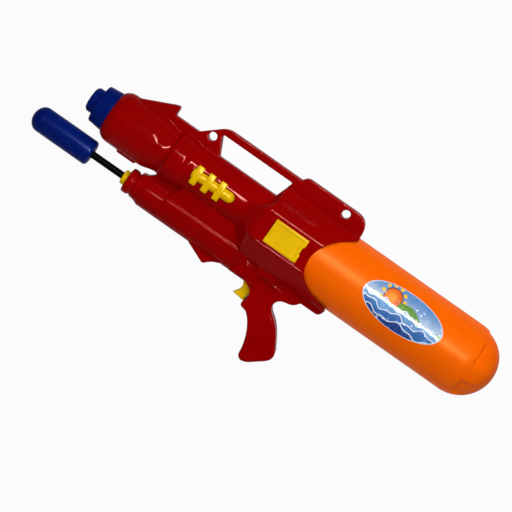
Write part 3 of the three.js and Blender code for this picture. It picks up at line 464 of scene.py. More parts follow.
def plateOutline(p, grow=0.0):
    front, rear, high, notch = p["frontX"] - grow, p["rearX"] + grow, p["half"] + grow, p["notchHalf"] - grow
    z, deep, flat = barrelZ - p["drop"], rear - p["notchDepth"], notch - p["notchSlope"]
    return [(front, z - high), (rear, z - high), (rear, z - notch), (deep, z - flat), (deep, z + flat),
            (rear, z + notch), (rear, z + high), (front, z + high)]


# casing: two red half shells, made as one form, hollowed, then parted along the middle

shell = {   # profiles are (x, radius), outlines are (x, z); a slab's outline has its half width and rounding
    "wall": 2.5, "partingLap": 0.2, "voxel": 0.7, "quickVoxel": 2.0, "softening": 7, "softFactor": 0.5,
    "mostTriangles": 190000,
    # muzzle shroud with its lip and neck, the drum behind it, and the barrel
    "barrelRadius": 30.6,
    "muzzle": [(-299.5, 0), (-299.5, 26.5), (-298.8, 27.9), (-297.3, 29.4), (-295, 31), (-292.5, 32.3), (-289.5, 33.2),
               (-286, 33.6), (-241, 33.6), (-238.5, 33.531), (-236, 33.324), (-232, 32.588), (-228, 31.392),
               (-224, 30.242), (-221, 29.506), (-218.5, 29.138), (-216.5, 29), (-215.3, 29.25), (-214.3, 30),
               *arc(-210.4, 30, 3, 158, 90, 5), *arc(-195.5, 27, 6, 90, 66, 4), (-187, 30.6), (-101, 30.6), (-101, 0)],
    "muzzleHollow": [(-302.5, 0), (-302.5, 26.9), (-295.5, 26.9), (-290.5, 31.1), (-242, 31.1), (-229, 28.6),
                     (-218, 26.5), (-213, 26.5), (-207, 30.5), (-196, 30.5), (-187, 28.1), (-101, 28.1), (-101, 0)],
    # pump collar with a groove round it, then the housing
    "pump": [(-239.4, 0), (-239.4, 14.1), *arc(-237.4, 14.1, 2, 180, 90, 4), *arc(-231.8, 14.9, 1.2, 90, 10, 3),
             (-230.2, 14.4), (-228, 14.4), *arc(-226.2, 14.9, 1.2, 170, 90, 3), (-224, 16.1), (-219, 17.1),
             (-214, 19.4), (-60, 19.4), (-60, 0)],
    "pumpHollow": [(-242.4, 0), (-242.4, 9.7), (-236.9, 9.7), (-236.9, 13.1), (-214, 13.1), (-208, 16.9), (-60, 16.9),
                   (-60, 0)],
    # receiver: the flare is delayed where the sine of the angle is high
    "flareFrontX": -106, "receiverFrontX": -73, "receiverRearX": 44.4, "receiverFlat": 49.5, "receiverStep": 0.9,
    "stepLength": 0.6, "cornerPower": 46, "flareSteps": 20, "flareEase": 1.12,
    "delay": 0.95, "delayFrom": 0.3, "delayOver": 0.35,
    # sight ramp, deck, carry bar on its strut, and fin
    "fin": (trace([(-282, 138), (-282, 149.6), (-238.8, 169.6), (-234, 170.6, -234, 166.6), (-234, 158.4),
                   (-200.4, 158.4), (-182.4, 173.9), (-174.4, 181.6, -165.4, 181.6), (-66, 181.6),
                   (-63, 188, -57, 188), (9.8, 188), (28.8, 188, 28.8, 166), (28.8, 138)]), 9, 1.0),
    "grip": (trace([(-42.6, 72), (44.4, 72), (44.1, 67), (43, 60, 36, 60), (16, 60), (11.5, 52, 4, 50.8),
                    (-9.6, 49, -9.8, 39.6), (-9.6, 32.5, 0, 26.4), (9, 20, 16.8, 7.2), (23.4, -3.6),
                    (31, -14.4, 20.4, -22.8), (6, -34.4), (-6, -42.6, -10.4, -32.4), (-10.6, -22, -16.8, -7.2),
                    (-24, 8.4, -33, 14.6), (-39.6, 16), (-42.6, 17, -42.6, 20)]), 16, 5, 5),
    "web": ([(-227, pumpZ), (-170, pumpZ), (-170, 96), (-212.4, 96), (-212.4, 86.8), (-221, 80), (-227, 79)], 12, 2.5),
    "foot": (-269, -243, 7, 81.4, 87.4, 1.2),
    # side panels between the barrel and the pump, with a small ledge; the section is (y, z)
    "panelSection": [(20.4, 100), (19.9, 74), (20, 71.8), (20.9, 71.5), (21.4, 71), (21.55, 70.2), (21.5, 69),
                     (20.9, 62.5), (18.8, 58)],
    "panelOutline": [(-187, 58), (-187, 74), (-175, 96), (-110, 96), (-73, 74), (-60, 58)],
    "underside": [   # the corner above the trigger, the breech over it, the neck of the grip, and the keel
        ([(-54, 45), (-39.6, 45), (-39.6, 28), (-42.6, 28)], 13, 2), (oblong(-78, -40.1, 43.2, 72), 19, 8, 6),
        (oblong(-52, -20, 59.4, 76), 23, 5.5, 5),
        (trace([(-136, 51), (-136, 42), (-110.4, 31.4), (-107.6, 30, -104, 35), (-98, 39.6), (-92, 42), (-92, 51)]),
         9, 2.5)],
    # openings: the tank's way in behind a curved edge, the hand slot, the finger space, the strap eyes
    "scoop": [(28.8, 162), *smoothThrough([(13, 151.5), (2.4, 141), (-3.8, 130.5), (-7.2, barrelZ), (-4.8, 102),
                                           (1, 92.5), (10, 84.5), (20, 79.5), (31, 76), (44.4, 72)]),
              (48.4, 72), (48.4, 169), (28.8, 169)],
    "slotFloorZ": 148.2, "slotTopZ": 172.2, "slotFrontX": -163.2, "slotRearX": -81.6, "slotCorner": 2.4,
    "slotFrontLean": 11.4, "slotRearLean": 7.8, "cornerFront": 0.8, "cornerRear": 0.7,
    "fingerSpace": trace([(-70, 41.4), (-49, 41.6), (-43.4, 39.6, -40.6, 33.6), (-39.4, 28, -42.8, 21.4),
                          (-44, 20.4), (-70, 20.4)]),
    "eyes": [(-183.6, 163.2), (-0.6, 178.2)], "eyeRadius": 5.4,
    # hollow blocks: front and rear X, half width, bottom and top Z, rounding
    "upperRooms": [(-116, -60, 12, pumpZ, 96), (-211.5, -172, 9.5, pumpZ, 97)],
    "valveRoom": (-156.5, -111.5, 9.7, 84),
    "triggerRooms": [(-74, -42.6, 16.2, 46.2, 74, 6.5), (-45.1, -34.6, 13.5, 44.5, 64), (-57.6, -33.6, 5.6, 17, 48),
                     (-42.6, -22, 9, 22, 62)],
    # seats of the trim and wells of the screws
    "trimGap": 0.3, "insertSeatY": 15.3, "plateSeatY": 48.3, "screwWell": 3.4, "screwSeatY": 5.5,
    "screws": [("ramp", -246, 157), ("fin_front", -58, 174), ("fin_rear", -24, 174), ("web", -199, 83),
               ("grip_upper", -25, 36), ("grip_lower", 6, -16), ("lip", 2, 60)],
    # wedge where the fin runs out into the receiver's slopes, and thin raised lines: x0, x1, y, z
    "cove": ([(8.4, 171.8), (20, 166.2), (20, 165.2), (8.4, 165.2)], -73, 26.8),
    "lineHeight": 0.5, "lineLean": 0.12, "lineDepth": 2,
    "fineLines": [(-70.6, -23.5, 39.7, 147.3), (-70.6, -23.5, 37.7, 149.3), (-9, -5, 38.7, 148.3),
                  (-70.6, -7, 49.8, 96.8), (-146, -128.5, 21.5, 64.6), (-118, -92, 11.2, 44.2),
                  (-132, -88, 15.0, 48.2), (-72, -51, 19.3, 60.2), (-23, -11, 23.2, 60.2), (-24, -6, 16.3, 69.5)],
}


def receiverForm(s, shrink, rearX):
    # a soft octagon round the tank, swelling out of the barrel
    power, flat, inner = s["cornerPower"], s["receiverFlat"] - shrink, s["barrelRadius"] - shrink

    def octagon(angle):
        return flat / sum(abs(cos(angle - i * pi / 4)) ** power for i in range(4)) ** (1 / power)

    def swollen(share, drop):
        def reach(angle):   # the top swells last, behind the hand slot
            late = s["delay"] * min(1, max(0, (sin(angle) - s["delayFrom"]) / s["delayOver"]))
            t = min(1, max(0, (share * s["flareEase"] - late) / (1 - late)))
            return inner + (octagon(angle) - drop - inner) * t * t * (3 - 2 * t)
        return reach

    front, rear, steps = s["flareFrontX"] + shrink, s["receiverFrontX"] + shrink, s["flareSteps"]
    drop = 0 if shrink else s["receiverStep"]
    stations = [(front + (rear - front) * i / steps, swollen(i / steps, drop)) for i in range(steps + 1)]
    return ringLoft(stations + [(rear + s["stepLength"], octagon), (rearX, octagon)], 192)


def handSlot(s, grow=0.0):
    floor, top, corner = s["slotFloorZ"] - grow, s["slotTopZ"] + grow, s["slotCorner"]
    front, rear = s["slotFrontX"] - grow, s["slotRearX"] + grow
    ahead, behind = front - s["slotFrontLean"], rear + s["slotRearLean"]
    return centred(trace([(front, floor), (rear, floor), (behind - s["cornerRear"], top - corner),
                          (behind, top, behind - corner, top), (ahead + corner, top),
                          (ahead, top, ahead + s["cornerFront"], top - corner)]), openSide)


def panelForm(s):
    outline = s["panelOutline"]
    panel = makeObject("panel", beam(mirrored(s["panelSection"]), outline[0][0] - 3, outline[-1][0]))
    return combine(panel, [centred(outline, openSide)], "INTERSECT")


def fineLine(s, line, side):
    # a thin raised line along the side, with a face that leans back a little
    x0, x1, y, z = line
    top, back = z + s["lineHeight"], y - s["lineLean"]
    inner = back - s["lineDepth"]
    return beam(onSide([(y, z), (back, top), (inner, top), (inner, z)], side), x0, x1)


def casingForm(s):
    form = makeObject("casing", lathe(s["muzzle"], barrelZ, 160))
    forms = [receiverForm(s, 0, s["receiverRearX"]), centred(*s["fin"]), lathe(s["pump"], pumpZ, 112),
             centred(*s["grip"]), centred(*s["web"]), panelForm(s), centredBlock(*s["foot"])]
    combine(form, forms + [centred(*low) for low in s["underside"]], "UNION")
    cuts = [centred(s["scoop"], openSide), handSlot(s), centred(s["fingerSpace"], openSide)]
    cuts += [crossPost(x, z, s["eyeRadius"], -openSide, openSide, 48) for x, z in s["eyes"]]
    return combine(form, cuts, "DIFFERENCE")


def casingSpace(s):
    space = makeObject("space", receiverForm(s, s["wall"], s["receiverRearX"] + 3))
    combine(space, [handSlot(s, s["wall"])], "DIFFERENCE")
    rooms = [lathe(s["muzzleHollow"], barrelZ, 96), lathe(s["pumpHollow"], pumpZ, 64)]
    rooms += [centredBlock(*room) for room in s["upperRooms"]] + [rod(*s["valveRoom"], 48)]
    return combine(space, rooms + [centredBlock(*room) for room in s["triggerRooms"]], "UNION")


def wholeCasing(s):
    whole = combine(casingForm(s), [casingSpace(s)], "DIFFERENCE")
    seats = [crossPost(x, z, s["screwWell"], s["screwSeatY"], openSide) for _, x, z in s["screws"]]
    for side in (-1, 1):
        for outline, depth in ((insertOutline(insert, s["trimGap"]), s["insertSeatY"]),
                               (plateOutline(plate, s["trimGap"]), s["plateSeatY"])):
            seats.append(slab(outline, *sorted((side * depth, side * openSide))))
    return combine(whole, seats, "DIFFERENCE")


def triangleCount(ob):
    return sum(len(p.vertices) - 2 for p in ob.data.polygons)


def casingHalf(s, whole, name, side):
    half = bpy.data.objects.new(name, whole.data.copy())
    bpy.context.scene.collection.objects.link(half)
    near, far = sorted((-side * s["partingLap"], side * openSide))
    past = 400   # beyond both ends of the toy
    combine(half, [block(-past, past, near, far, -past, past)], "INTERSECT")
    remesh = half.modifiers.new("even", "REMESH")
    remesh.mode, remesh.adaptivity = "VOXEL", 0
    remesh.voxel_size = s["voxel"] * mm
    soften = half.modifiers.new("soften", "SMOOTH")
    soften.factor, soften.iterations = s["softFactor"], s["softening"]
    settled(half)
    section, front, rear = s["cove"]
    lines = [fineLine(s, line, side) for line in s["fineLines"]]
    combine(half, [beam(onSide(section, side), front, rear)] + lines, "UNION")
    made = triangleCount(half)
    if made > s["mostTriangles"]:
        thin = half.modifiers.new("thin", "DECIMATE")
        thin.ratio = s["mostTriangles"] / made
        settled(half)
    print(name, made, "triangles, kept", triangleCount(half))
    return half


whole = wholeCasing(shell)
leftShell, rightShell = casingHalf(shell, whole, "leftShell", -1), casingHalf(shell, whole, "rightShell", 1)
discard(whole)
place(leftShell, casingRed, "casing", "casing_red", "left_shell", sharpAngle=60)
place(rightShell, casingRed, "casing", "casing_red", "right_shell", sharpAngle=60)
print("casing made")


# yellow trim: the pieces themselves

def barrelCollar(p, side, x0):
    # a strip that wraps part of the barrel
    x1, barrel, half = x0 + p["collarWidth"], shell["barrelRadius"], radians(p["collarHalfAngle"])
    low, high, start = barrel + p["collarGap"], barrel + p["collarProud"], (pi if side < 0 else 0) - half
    bm = bmesh.new()
    face = bm.faces.new([bm.verts.new((x * mm, r * cos(start) * mm, (barrelZ + r * sin(start)) * mm))
                         for x, r in ((x0, low), (x1, low), (x1, high), (x0, high))])
    bmesh.ops.spin(bm, geom=[face, *face.edges, *face.verts], cent=(0, 0, barrelZ * mm), axis=(1, 0, 0),
                   angle=2 * half, steps=20)
    tidyMesh(bm)
    rims = [e for e in bm.edges if e.is_manifold and e.calc_face_angle(0) > p["rimAngle"]]
    roundEdges(bm, rims, p["collarRound"])
    return tidyMesh(bm)


def ribbedInsert(p, side, name):
    # a half round bar with a blunt front and a round rear, and collars that wrap the barrel
    front, half, nose = p["frontX"], p["half"], p["nose"]
    bar = [(front, 0), (front, half - nose)] + arc(front + nose, half - nose, nose, 180, 90, 4)
    bm = lathe(bar + arc(p["rearX"] - half, 0, half, 90, 0, 10), barrelZ, 64)
    bmesh.ops.scale(bm, verts=bm.verts, vec=(1, (p["proud"] + p["sunk"]) / half, 1))
    bmesh.ops.translate(bm, verts=bm.verts, vec=(0, side * (shell["barrelRadius"] - p["sunk"]) * mm, 0))
    starts = [front + p["collarInset"] + i * p["collarPitch"] for i in range(p["collars"])]
    return combine(makeObject(name, tidyMesh(bm)), [barrelCollar(p, side, x) for x in starts], "UNION")


def sidePlate(p, side, name):
    # the plate has a shallow sunk panel on its face
    inner, outer = [side * (shell["receiverFlat"] + out) for out in (-p["seat"], p["proud"])]
    bm = bmesh.new()
    face = bm.faces.new([bm.verts.new((x * mm, inner * mm, z * mm)) for x, z in plateOutline(p)])
    extruded(bm, face, (0, (outer - inner) * mm, 0))

    def outerFace():
        return max(bm.faces, key=lambda f: side * f.calc_center_median().y)

    roundEdges(bm, list(outerFace().edges) + acrossEdges(bm), p["rounding"], 4)
    front = [outerFace()]
    bmesh.ops.inset_region(bm, faces=front, thickness=p["panelInset"] * mm, depth=0, use_even_offset=True)
    bmesh.ops.inset_region(bm, faces=front, thickness=p["panelSlope"] * mm, depth=-p["panelDepth"] * mm,
                           use_even_offset=True)
    return makeObject(name, tidyMesh(bm))


for side, hand in ((-1, "left"), (1, "right")):
    bar = ribbedInsert(insert, side, hand + "RibbedInsert")
    place(bar, trimYellow, "casing", "trim_yellow", hand + "_ribbed_insert")
    flat = sidePlate(plate, side, hand + "SidePlate")
    place(flat, trimYellow, "casing", "trim_yellow", hand + "_side_plate")
print("trim made")


# casing screws, in wells on the right side

screw = {"headRadius": 3.0, "headThick": 2.2, "headRound": 1.0, "shankRadius": 1.5, "shankLap": 0.5, "length": 11,
         "seatGap": 0.3, "slotHalf": 0.45, "slotReach": 2.0, "slotDepth": 1.1}


def casingScrew(p, name, x, z):
    # a round head with a cross slot, on a plain shank
    seat = shell["screwSeatY"] + p["seatGap"]
    top = seat + p["headThick"]
    bm = crossPost(x, z, p["headRadius"], seat, top, 40)
    rim = [e for e in bm.edges if all(abs(v.co.y - top * mm) < tiny for v in e.verts)]
    roundEdges(bm, rim, p["headRound"], 4)
    made = makeObject("screw_" + name + "_head", tidyMesh(bm))
    shankEnd = shell["screwSeatY"] - p["length"]
    combine(made, [crossPost(x, z, p["shankRadius"], shankEnd, seat + p["shankLap"], 24)], "UNION")
    k, r, y0, y1 = p["slotHalf"], p["slotReach"], top - p["slotDepth"], top + 1
    slots = [block(x - r, x + r, y0, y1, z - k, z + k), block(x - k, x + k, y0, y1, z - r, z + r)]
    return combine(made, slots, "DIFFERENCE")


for name, x, z in shell["screws"]:
    made = casingScrew(screw, name, x, z)
    place(made, springSteel, "casing", "spring_steel", "screw_" + name, sharpAngle=30)
print("screws made")


# nozzle: a round boss on a turned face, the grip behind it, and a flange and pipe inside the mouth

nozzle = {"steps": 128, "profile": [
    (-328.6, 1.5), (-329.8, 2.7), (-329.8, 11), *arc(-324.8, 11, 5, 180, 90, 8),
    *arc(-319.1, 16.9, 0.9, 270, 360, 3), (-318.2, 22.6), *arc(-316.4, 22.6, 1.8, 180, 95, 6), (-305.5, 25.65),
    (-301.5, 26.1), (-290.2, 26.2), (-290.2, 28.9), (-286, 28.9), (-286, 23.7), (-315.7, 21.9), (-315.7, 9),
    (-300, 9), (-300, 6.3), (-325.3, 6.3), (-325.3, 1.5), (-328.6, 1.5)]}
nozzleBody = makeObject("nozzleBody", lathe(nozzle["profile"], barrelZ, nozzle["steps"]))
place(nozzleBody, partBlue, "nozzle", "part_blue", "nozzle", sharpAngle=35)
print("nozzle made")


# pump: the blue handle, its black rod and the yellow bush in the collar

handle = {"frontX": -376, "rearX": -291, "radius": 16.2, "dome": 13, "edge": 4.2, "bore": 4.75, "boreEdge": 0.8,
          "boreEndX": -345.3, "ridges": 10, "ridgeFrontX": -355.5, "ridgePitch": 5.1, "ridgeWidth": 2.4,
          "ridgeHalf": 4.2, "ridgeRoot": 3, "ridgeProud": 0.55, "ridgeRound": 0.7}
pumpRod = {"steps": 64, "profile": [(-345, 0), (-345, 3.95), (-344.5, 4.45), (-161.5, 4.45), (-161, 3.95), (-161, 0)]}
bush = {"steps": 80, "profile": [(-245.3, 4.75), (-246, 5.45), (-246, 7.1), *arc(-243.8, 7.1, 2.2, 180, 90, 6),
                                 (-236.6, 9.3), (-236.6, 10.2), (-224.6, 10.2), (-224.6, 4.75), (-245.3, 4.75)]}


def pumpHandle(p):
    # a domed grip, with a row of short raised bars along each side
    rear, r, edge, bore, lip, end = p["rearX"], p["radius"], p["edge"], p["bore"], p["boreEdge"], p["boreEndX"]
    turns = [radians(a) for a in range(0, 91, 6)]
    nose = [(p["frontX"] + p["dome"] * (1 - cos(t)), r * sin(t)) for t in turns]
    hole = [(rear, bore + lip), (rear - lip, bore), (end, bore), (end, 0)]
    made = makeObject("pumpHandle", lathe(nose + arc(rear - edge, r - edge, edge, 90, 0, 8) + hole, pumpZ, 112))
    ridges, wide, half = [], p["ridgeWidth"] / 2, p["ridgeHalf"]
    for side in (-1, 1):
        reach = sorted((side * (r - p["ridgeRoot"]), side * (r + p["ridgeProud"])))
        for i in range(p["ridges"]):
            x = p["ridgeFrontX"] + i * p["ridgePitch"]
            ridges.append(block(x - wide, x + wide, *reach, pumpZ - half, pumpZ + half, p["ridgeRound"]))
    return combine(made, ridges, "UNION")


place(pumpHandle(handle), partBlue, "pump", "part_blue", "pump_handle", sharpAngle=35)
blackRod = makeObject("pumpRod", lathe(pumpRod["profile"], pumpZ, pumpRod["steps"]))
place(blackRod, rodBlack, "pump", "rod_black", "pump_rod")
yellowBush = makeObject("pumpBush", lathe(bush["profile"], pumpZ, bush["steps"]))
place(yellowBush, trimYellow, "casing", "trim_yellow", "pump_bush", sharpAngle=35)
print("pump made")


# trigger: a finger pad under its pivot, and an arm that reaches up to the valve

trigger = {"half": 5, "pivot": (-48, 54), "eye": 6, "arm": 3, "armRound": 0.5, "stemZ": 84, "nose": 4,
           "pinHole": 2.3, "rounding": 1.3,
           "pad": trace([(-54, 54), (-55.2, 41), (-51, 35.5, -54.4, 29), (-58.2, 23.6), (-43.4, 21.8),
                         (-40.4, 29, -40.4, 36), (-42, 54)])}


def triggerForm(p):
    (x, z), half, arm = p["pivot"], p["half"], p["arm"]
    made = makeObject("triggerLever", centred(p["pad"], half, p["rounding"], 4))
    combine(made, [centred(oblong(x - arm, x + arm, z, p["stemZ"]), half, p["armRound"], 2),
                   crossPost(x, z, p["eye"], -half, half, 48),
                   crossPost(x, p["stemZ"], p["nose"], -half, half)], "UNION")
    return combine(made, [crossPost(x, z, p["pinHole"], -openSide, openSide)], "DIFFERENCE")


place(triggerForm(trigger), trimYellow, "trigger", "trim_yellow", "trigger", sharpAngle=35)
print("trigger made")


# tank: a long orange bottle with a domed end that has five petal dents

tank = {"radius": 46.5, "wall": 2, "neckFrontX": -58, "neckRadius": 17, "neckBore": 13.5, "shoulderX": -40,
        "bodyX": -14, "bodySteps": 12, "domeX": 208.8, "dents": 5, "dentFrontX": 220.5, "dentRearX": 245,
        "dentDepth": 5, "dentHalf": 22, "dentSide": 3, "dentTurn": 80, "dentStep": 0.9}


def tankProfile(p, shrink):
    # from the neck to the tip; with a shrink it is the inside
    radius, neck = p["radius"] - shrink, p["neckBore" if shrink else "neckRadius"]
    start, steps = p["bodyX"], p["bodySteps"]
    turns = [radians(a) for a in range(0, 91, 6)]
    shoulder = [(p["shoulderX"] + (start - p["shoulderX"]) * (1 - cos(t)) + shrink, neck + (radius - neck) * sin(t))
                for t in turns]
    body = [(start + (p["domeX"] - start) * i / steps + (shrink if i < steps else 0), radius)
            for i in range(1, steps + 1)]
    dome = [(p["domeX"] + radius * sin(radians(a / 2)), radius * cos(radians(a / 2))) for a in range(3, 180, 3)]
    return [(p["neckFrontX"], neck)] + shoulder + body + dome + [(p["domeX"] + radius, 0)]


def tankForm(p):
    outside, inside = tankProfile(p, 0), tankProfile(p, p["wall"])
    bm = lathe(outside + inside[::-1] + outside[:1], barrelZ, 200)
    pitch, half, turn = 2 * pi / p["dents"], radians(p["dentHalf"]), radians(p["dentTurn"])
    front, rear = p["dentFrontX"], p["dentRearX"]
    for v in bm.verts:   # each dent starts at a sharp step and fades towards the tip
        x, y, z = v.co.x / mm, v.co.y / mm, v.co.z / mm - barrelZ
        reach = sqrt(y * y + z * z)
        if reach > 1 and front < x < rear:
            off = (atan2(z, y) - turn + pitch / 2) % pitch - pitch / 2
            across = min(1, max(0, p["dentSide"] * (1 - abs(off) / half)))
            along = (rear - x) / (rear - front) * min(1, (x - front) / p["dentStep"])
            share = 1 - p["dentDepth"] * across * along / reach
            v.co.y, v.co.z = y * share * mm, (barrelZ + z * share) * mm
    return makeObject("tankBottle", tidyMesh(bm))


place(tankForm(tank), tankOrange, "tank", "tank_orange", "tank", sharpAngle=50)
print("tank made")


# the oval sticker on the tank's side, printed with a sun over green hills, waves and bubbles

sticker = {"x": 118.2, "halfLength": 54.6, "halfWidth": 26, "tilt": 11, "thick": 0.35, "lift": 0.12,
           "columns": 120, "rows": 56}
seaside = {   # places and sizes are shares of the sticker's half width; a wave is its height, speed and start
    "gloss": {"coatWeight": 0.09, "coatRoughness": 0.02, "roughness": 0.4, "specularIORLevel": 0.03},
    "rim": 0.97, "rimTone": (190, 202, 218), "skyLow": (186, 198, 216), "skyHigh": (92, 134, 186),
    "skyRange": (-0.2, 1.1), "haze": (60, 3), "hazeShare": 0.6,
    "sunAlong": -0.72, "sunUp": 0.30, "sunRadius": 0.43, "outline": 0.47, "rays": 11, "rayInner": 0.50,
    "rayOuter": 0.66, "rayTone": (232, 176, 30), "outlineTone": (44, 40, 56), "sunTone": (216, 96, 16),
    "glowTone": (238, 146, 36), "glowLean": 0.25, "glowRange": (0.38, 0.05),
    "hillLevel": 0.16, "hillWaves": [(0.22, 1.7, 1.9), (0.08, 4.1, 0)], "hillFront": -0.35,
    "hillDark": (44, 104, 28), "hillPale": (112, 160, 40), "hillNoise": (220, 3),
    "seaRows": [(0.00, 5.2, 0.4, (84, 134, 186)), (-0.30, 4.3, 2.1, (46, 96, 160)),
                (-0.62, 3.6, 0.9, (24, 54, 118))],
    "swell": 0.10, "ripple": 0.05, "rippleSpeed": 2.3, "paler": 34, "seaNoise": (160, 4, 0.6),
    "seaRange": (0.45, 0.7), "foam": 0.055, "foamTone": (206, 218, 232),
    "bubbleScale": 150, "bubbleSpread": 0.9, "bubbleInner": 0.13, "bubbleOuter": 0.20, "bubbleTop": 0.75,
    "bubbleNoise": (70, 2), "bubbleShare": 0.52, "bubbleTone": (236, 243, 250),
}


def stickerFilm(p):
    # a flat oval, wrapped round the tank
    bm = bmesh.new()
    bmesh.ops.create_grid(bm, x_segments=p["columns"], y_segments=p["rows"], size=1)
    for v in bm.verts:   # the square grid is drawn into an oval
        a, b = v.co.x, v.co.y
        v.co.x, v.co.y = a * sqrt(1 - b * b / 2), b * sqrt(1 - a * a / 2)
    bmesh.ops.solidify(bm, geom=bm.faces, thickness=p["thick"] * mm)
    levels = [v.co.z for v in bm.verts]
    low, high = min(levels), max(levels)
    for v in bm.verts:
        height = (v.co.z - low) / (high - low)
        r = tank["radius"] + p["lift"] + p["thick"] * height
        angle = radians(p["tilt"]) + v.co.y * p["halfWidth"] / tank["radius"]
        x = p["x"] + v.co.x * p["halfLength"]
        v.co = (x * mm, -r * cos(angle) * mm, (barrelZ + r * sin(angle)) * mm)
    return makeObject("stickerFilm", tidyMesh(bm))


def wavyLine(level, waves, along):
    for height, speed, start in waves:
        level = level + height * (along * speed + start).sine()
    return level


def stickerPrint(p, d):
    finish = material("stickerPrint", **d["gloss"])
    x, y, z = finish.split(finish.where())
    up = ((z - barrelZ * mm).bearing(y * -1) - radians(p["tilt"])) * (tank["radius"] / p["halfWidth"])
    share = (x - p["x"] * mm) / (p["halfLength"] * mm)
    along = share * (p["halfLength"] / p["halfWidth"])
    haze = finish.noise(*d["haze"]) * d["hazeShare"]
    design = finish.blend(colour(*d["skyLow"]), colour(*d["skyHigh"]), (up + haze).soft(*d["skyRange"]))

    sunX, sunZ = along - d["sunAlong"], up - d["sunUp"]
    reach = (sunX * sunX + sunZ * sunZ).root()
    rays = ((sunZ.bearing(sunX) * d["rays"]).sine() > 0) * (reach < d["rayOuter"]) * (reach > d["rayInner"])
    design = finish.blend(design, colour(*d["rayTone"]), rays)
    design = finish.blend(design, colour(*d["outlineTone"]), reach < d["outline"])
    disc = reach < d["sunRadius"]
    design = finish.blend(design, colour(*d["sunTone"]), disc)
    glow = (reach + d["glowLean"] * sunX).soft(*d["glowRange"])
    design = finish.blend(design, colour(*d["glowTone"]), disc * glow)

    hills = (up < wavyLine(d["hillLevel"], d["hillWaves"], along)) * (along > d["hillFront"])
    grass = finish.blend(colour(*d["hillDark"]), colour(*d["hillPale"]), finish.noise(*d["hillNoise"]))
    design = finish.blend(design, grass, hills)

    for level, speed, start, tone in d["seaRows"]:
        waves = [(d["swell"], speed, start), (d["ripple"], speed * d["rippleSpeed"], start)]
        depth = wavyLine(level, waves, along) - up
        pale = colour(*[min(255, c + d["paler"]) for c in tone])
        water = finish.blend(colour(*tone), pale, finish.noise(*d["seaNoise"]).soft(*d["seaRange"]))
        design = finish.blend(design, water, depth > 0)
        design = finish.blend(design, colour(*d["foamTone"]), (depth > 0) * (depth < d["foam"]))

    cells = finish.node("ShaderNodeTexVoronoi", {"feature": "F1"}, {
        "Vector": finish.where(), "Scale": d["bubbleScale"], "Randomness": d["bubbleSpread"]}, "Distance")
    rings = (cells < d["bubbleOuter"]) * (cells > d["bubbleInner"]) * (up < d["bubbleTop"])
    some = finish.noise(*d["bubbleNoise"]) > d["bubbleShare"]
    design = finish.blend(design, colour(*d["bubbleTone"]), rings * some)
    edge = (share * share + up * up).root()
    return finish.set(baseColor=finish.blend(design, colour(*d["rimTone"]), edge > d["rim"])).owner


film = stickerFilm(sticker)
place(film, stickerPrint(sticker, seaside), "tank", "sticker_film", "tank_sticker", sharpAngle=60)
print("sticker made")


# springs: two steel coils, which in the toy shorten as the trigger is pulled; here each is made at the length of its
# node

wire = {"radius": 0.6, "sides": 10, "stepsPerTurn": 24}
springs = {
    "valveSpring": {"node": "valve_spring", "radius": 3.6, "turns": 5, "z": 84,
                    "joint": "valve_push", "fixedX": -151.7, "keep": 0.5},
    "triggerSpring": {"node": "trigger_spring", "radius": 3.2, "turns": 4, "z": 36,
                      "joint": "trigger_pull", "fixedX": -30.6, "keep": 0.42},
}


def coilSpring(name, p):
    low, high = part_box(p["node"])
    steps, thick, z = p["turns"] * wire["stepsPerTurn"], wire["radius"] * mm, p["z"] * mm
    bm = bmesh.new()
    ring = bmesh.ops.create_circle(bm, cap_ends=True, segments=wire["sides"], radius=thick)["verts"]
    bmesh.ops.translate(bm, verts=ring, vec=(low[0] + thick, p["radius"] * mm, z))
    rise = (high[0] - low[0] - 2 * thick) / steps
    bmesh.ops.spin(bm, geom=[*bm.faces, *bm.edges, *bm.verts], cent=(0, 0, z), axis=(1, 0, 0),
                   angle=2 * pi * p["turns"], dvec=(rise, 0, 0), steps=steps)
    return makeObject(name, tidyMesh(bm))


for name, p in springs.items():
    coil = place(coilSpring(name, p), springSteel, "casing", "spring_steel", p["node"])
    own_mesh(coil)
print("springs made")


# inner pieces keep their own solids and get a finish

innerFinishes = [
    (innerWhite, ["outlet_pipe", "pump_cylinder", "piston", "valve_body", "valve_stem", "tank_socket",
                  "supply_hose", "pump_hose", "pickup_tube"]),
    (sealRubber, ["nozzle_seal", "piston_ring", "pump_flap", "stem_seal", "neck_seal"]),
    (springSteel, ["trigger_pin"]),
]
for finish, names in innerFinishes:
    for name in names:
        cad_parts[name].data.materials.clear()
        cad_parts[name].data.materials.append(finish)
print("inner pieces finished")


# floor, light and camera

stage = {"floorZ": -0.75, "floorRadius": 7, "floorRoughness": 0.9, "floorTones": ((222, 222, 222), (214, 214, 214)),
         "floorNoise": (3, 2), "ambient": 0.25, "backdrop": (252, 252, 252), "whiteShare": 0.95,
         "mirrorShare": 0.15, "aim": (-0.02, 0, 0.11)}
lamps = {   # each lamp's two ends, its height, its power, and the kind of ray that misses it
    "key": ((-0.35, -1.1, 1.45), (0.65, -1.1, 1.45), 0.7, 19.5, "visible_glossy"),
    "front": ((-0.5, -1.5, 0.35), (0.5, -1.5, 0.35), 0.6, 9, "visible_glossy"),
    "glint": ((-0.27, -1.43, 0.86), (0.46, -1.43, 0.29), 0.19, 160, "visible_diffuse"),
    "fill": ((-0.6, 1.6, 1.3), (1.0, 1.6, 1.3), 1.1, 18, "visible_glossy"),
}
view = {"sensor": 36, "centre": (-0.060, 0, 0.0744), "distance": 2.0, "lens": 117.2, "elevation": 8, "roll": 35.06}


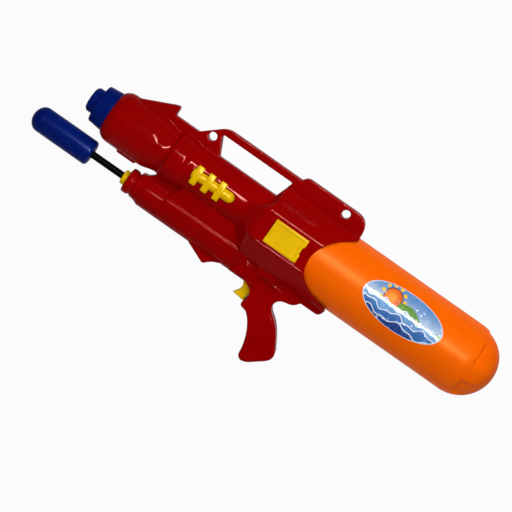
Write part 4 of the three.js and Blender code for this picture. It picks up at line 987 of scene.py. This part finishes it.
def whiteWorld(p):
    world = bpy.data.worlds.new("studio")
    air = Finish(world, "Background", color=(1, 1, 1, 1), strength=p["ambient"])
    shown = air.node("ShaderNodeBackground", {}, {"Color": colour(*p["backdrop"]), "Strength": 1.0})
    air.mixShaders("World Output", shown, air.seenDirectly(p["mirrorShare"]))
    bpy.context.scene.world = world


def paleFloor(p):
    # a pale matt floor well below the toy, which is held up
    bm = bmesh.new()
    bmesh.ops.create_circle(bm, cap_ends=True, segments=96, radius=p["floorRadius"])
    bmesh.ops.translate(bm, verts=bm.verts, vec=(0, 0, p["floorZ"]))
    floor = makeObject("floor", bm)
    finish = material("floorPale", roughness=p["floorRoughness"])
    pale, grey = [colour(*tone) for tone in p["floorTones"]]
    finish.set(baseColor=finish.blend(pale, grey, finish.noise(*p["floorNoise"])))
    glow = finish.node("ShaderNodeEmission", {}, {"Color": (1, 1, 1, 1), "Strength": 1.0})
    finish.mixShaders("Material Output", glow, finish.seenDirectly(p["mirrorShare"]) * p["whiteShare"])
    floor.data.materials.append(finish.owner)


def softLamp(name, start, end, height, power, hiddenFrom, aim):
    lamp = bpy.data.lights.new(name, "AREA")
    start, end = Vector(start), Vector(end)
    along, middle = end - start, (start + end) / 2
    lamp.shape, lamp.size, lamp.size_y, lamp.energy = "RECTANGLE", along.length, height, power
    back = (middle - Vector(aim)).normalized()
    across = (along - back * along.dot(back)).normalized()
    ob = bpy.data.objects.new(name, lamp)
    facing = Matrix((across, back.cross(across), back)).transposed().to_4x4()
    ob.matrix_world = Matrix.Translation(middle) @ facing
    setattr(ob, hiddenFrom, False)
    bpy.context.scene.collection.objects.link(ob)


def photoCamera(p):
    # square on to the barrel from a little above, and rolled so that the muzzle points up to the left
    camera = bpy.data.objects.new("camera", bpy.data.cameras.new("camera"))
    camera.data.sensor_width, camera.data.lens = p["sensor"], p["lens"]
    tilt = radians(p["elevation"])
    back = Vector((0, -cos(tilt), sin(tilt)))
    camera.location = Vector(p["centre"]) + back * p["distance"]
    facing = (-back).to_track_quat("-Z", "Y").to_matrix() @ Matrix.Rotation(radians(p["roll"]), 3, "Z")
    camera.rotation_mode = "QUATERNION"
    camera.rotation_quaternion = facing.to_quaternion()
    bpy.context.scene.collection.objects.link(camera)
    bpy.context.scene.camera = camera


whiteWorld(stage)
paleFloor(stage)
for name, settings in lamps.items():
    softLamp(name, *settings, stage["aim"])
photoCamera(view)
bpy.context.scene.view_settings.view_transform = "Standard"
print("stage set")
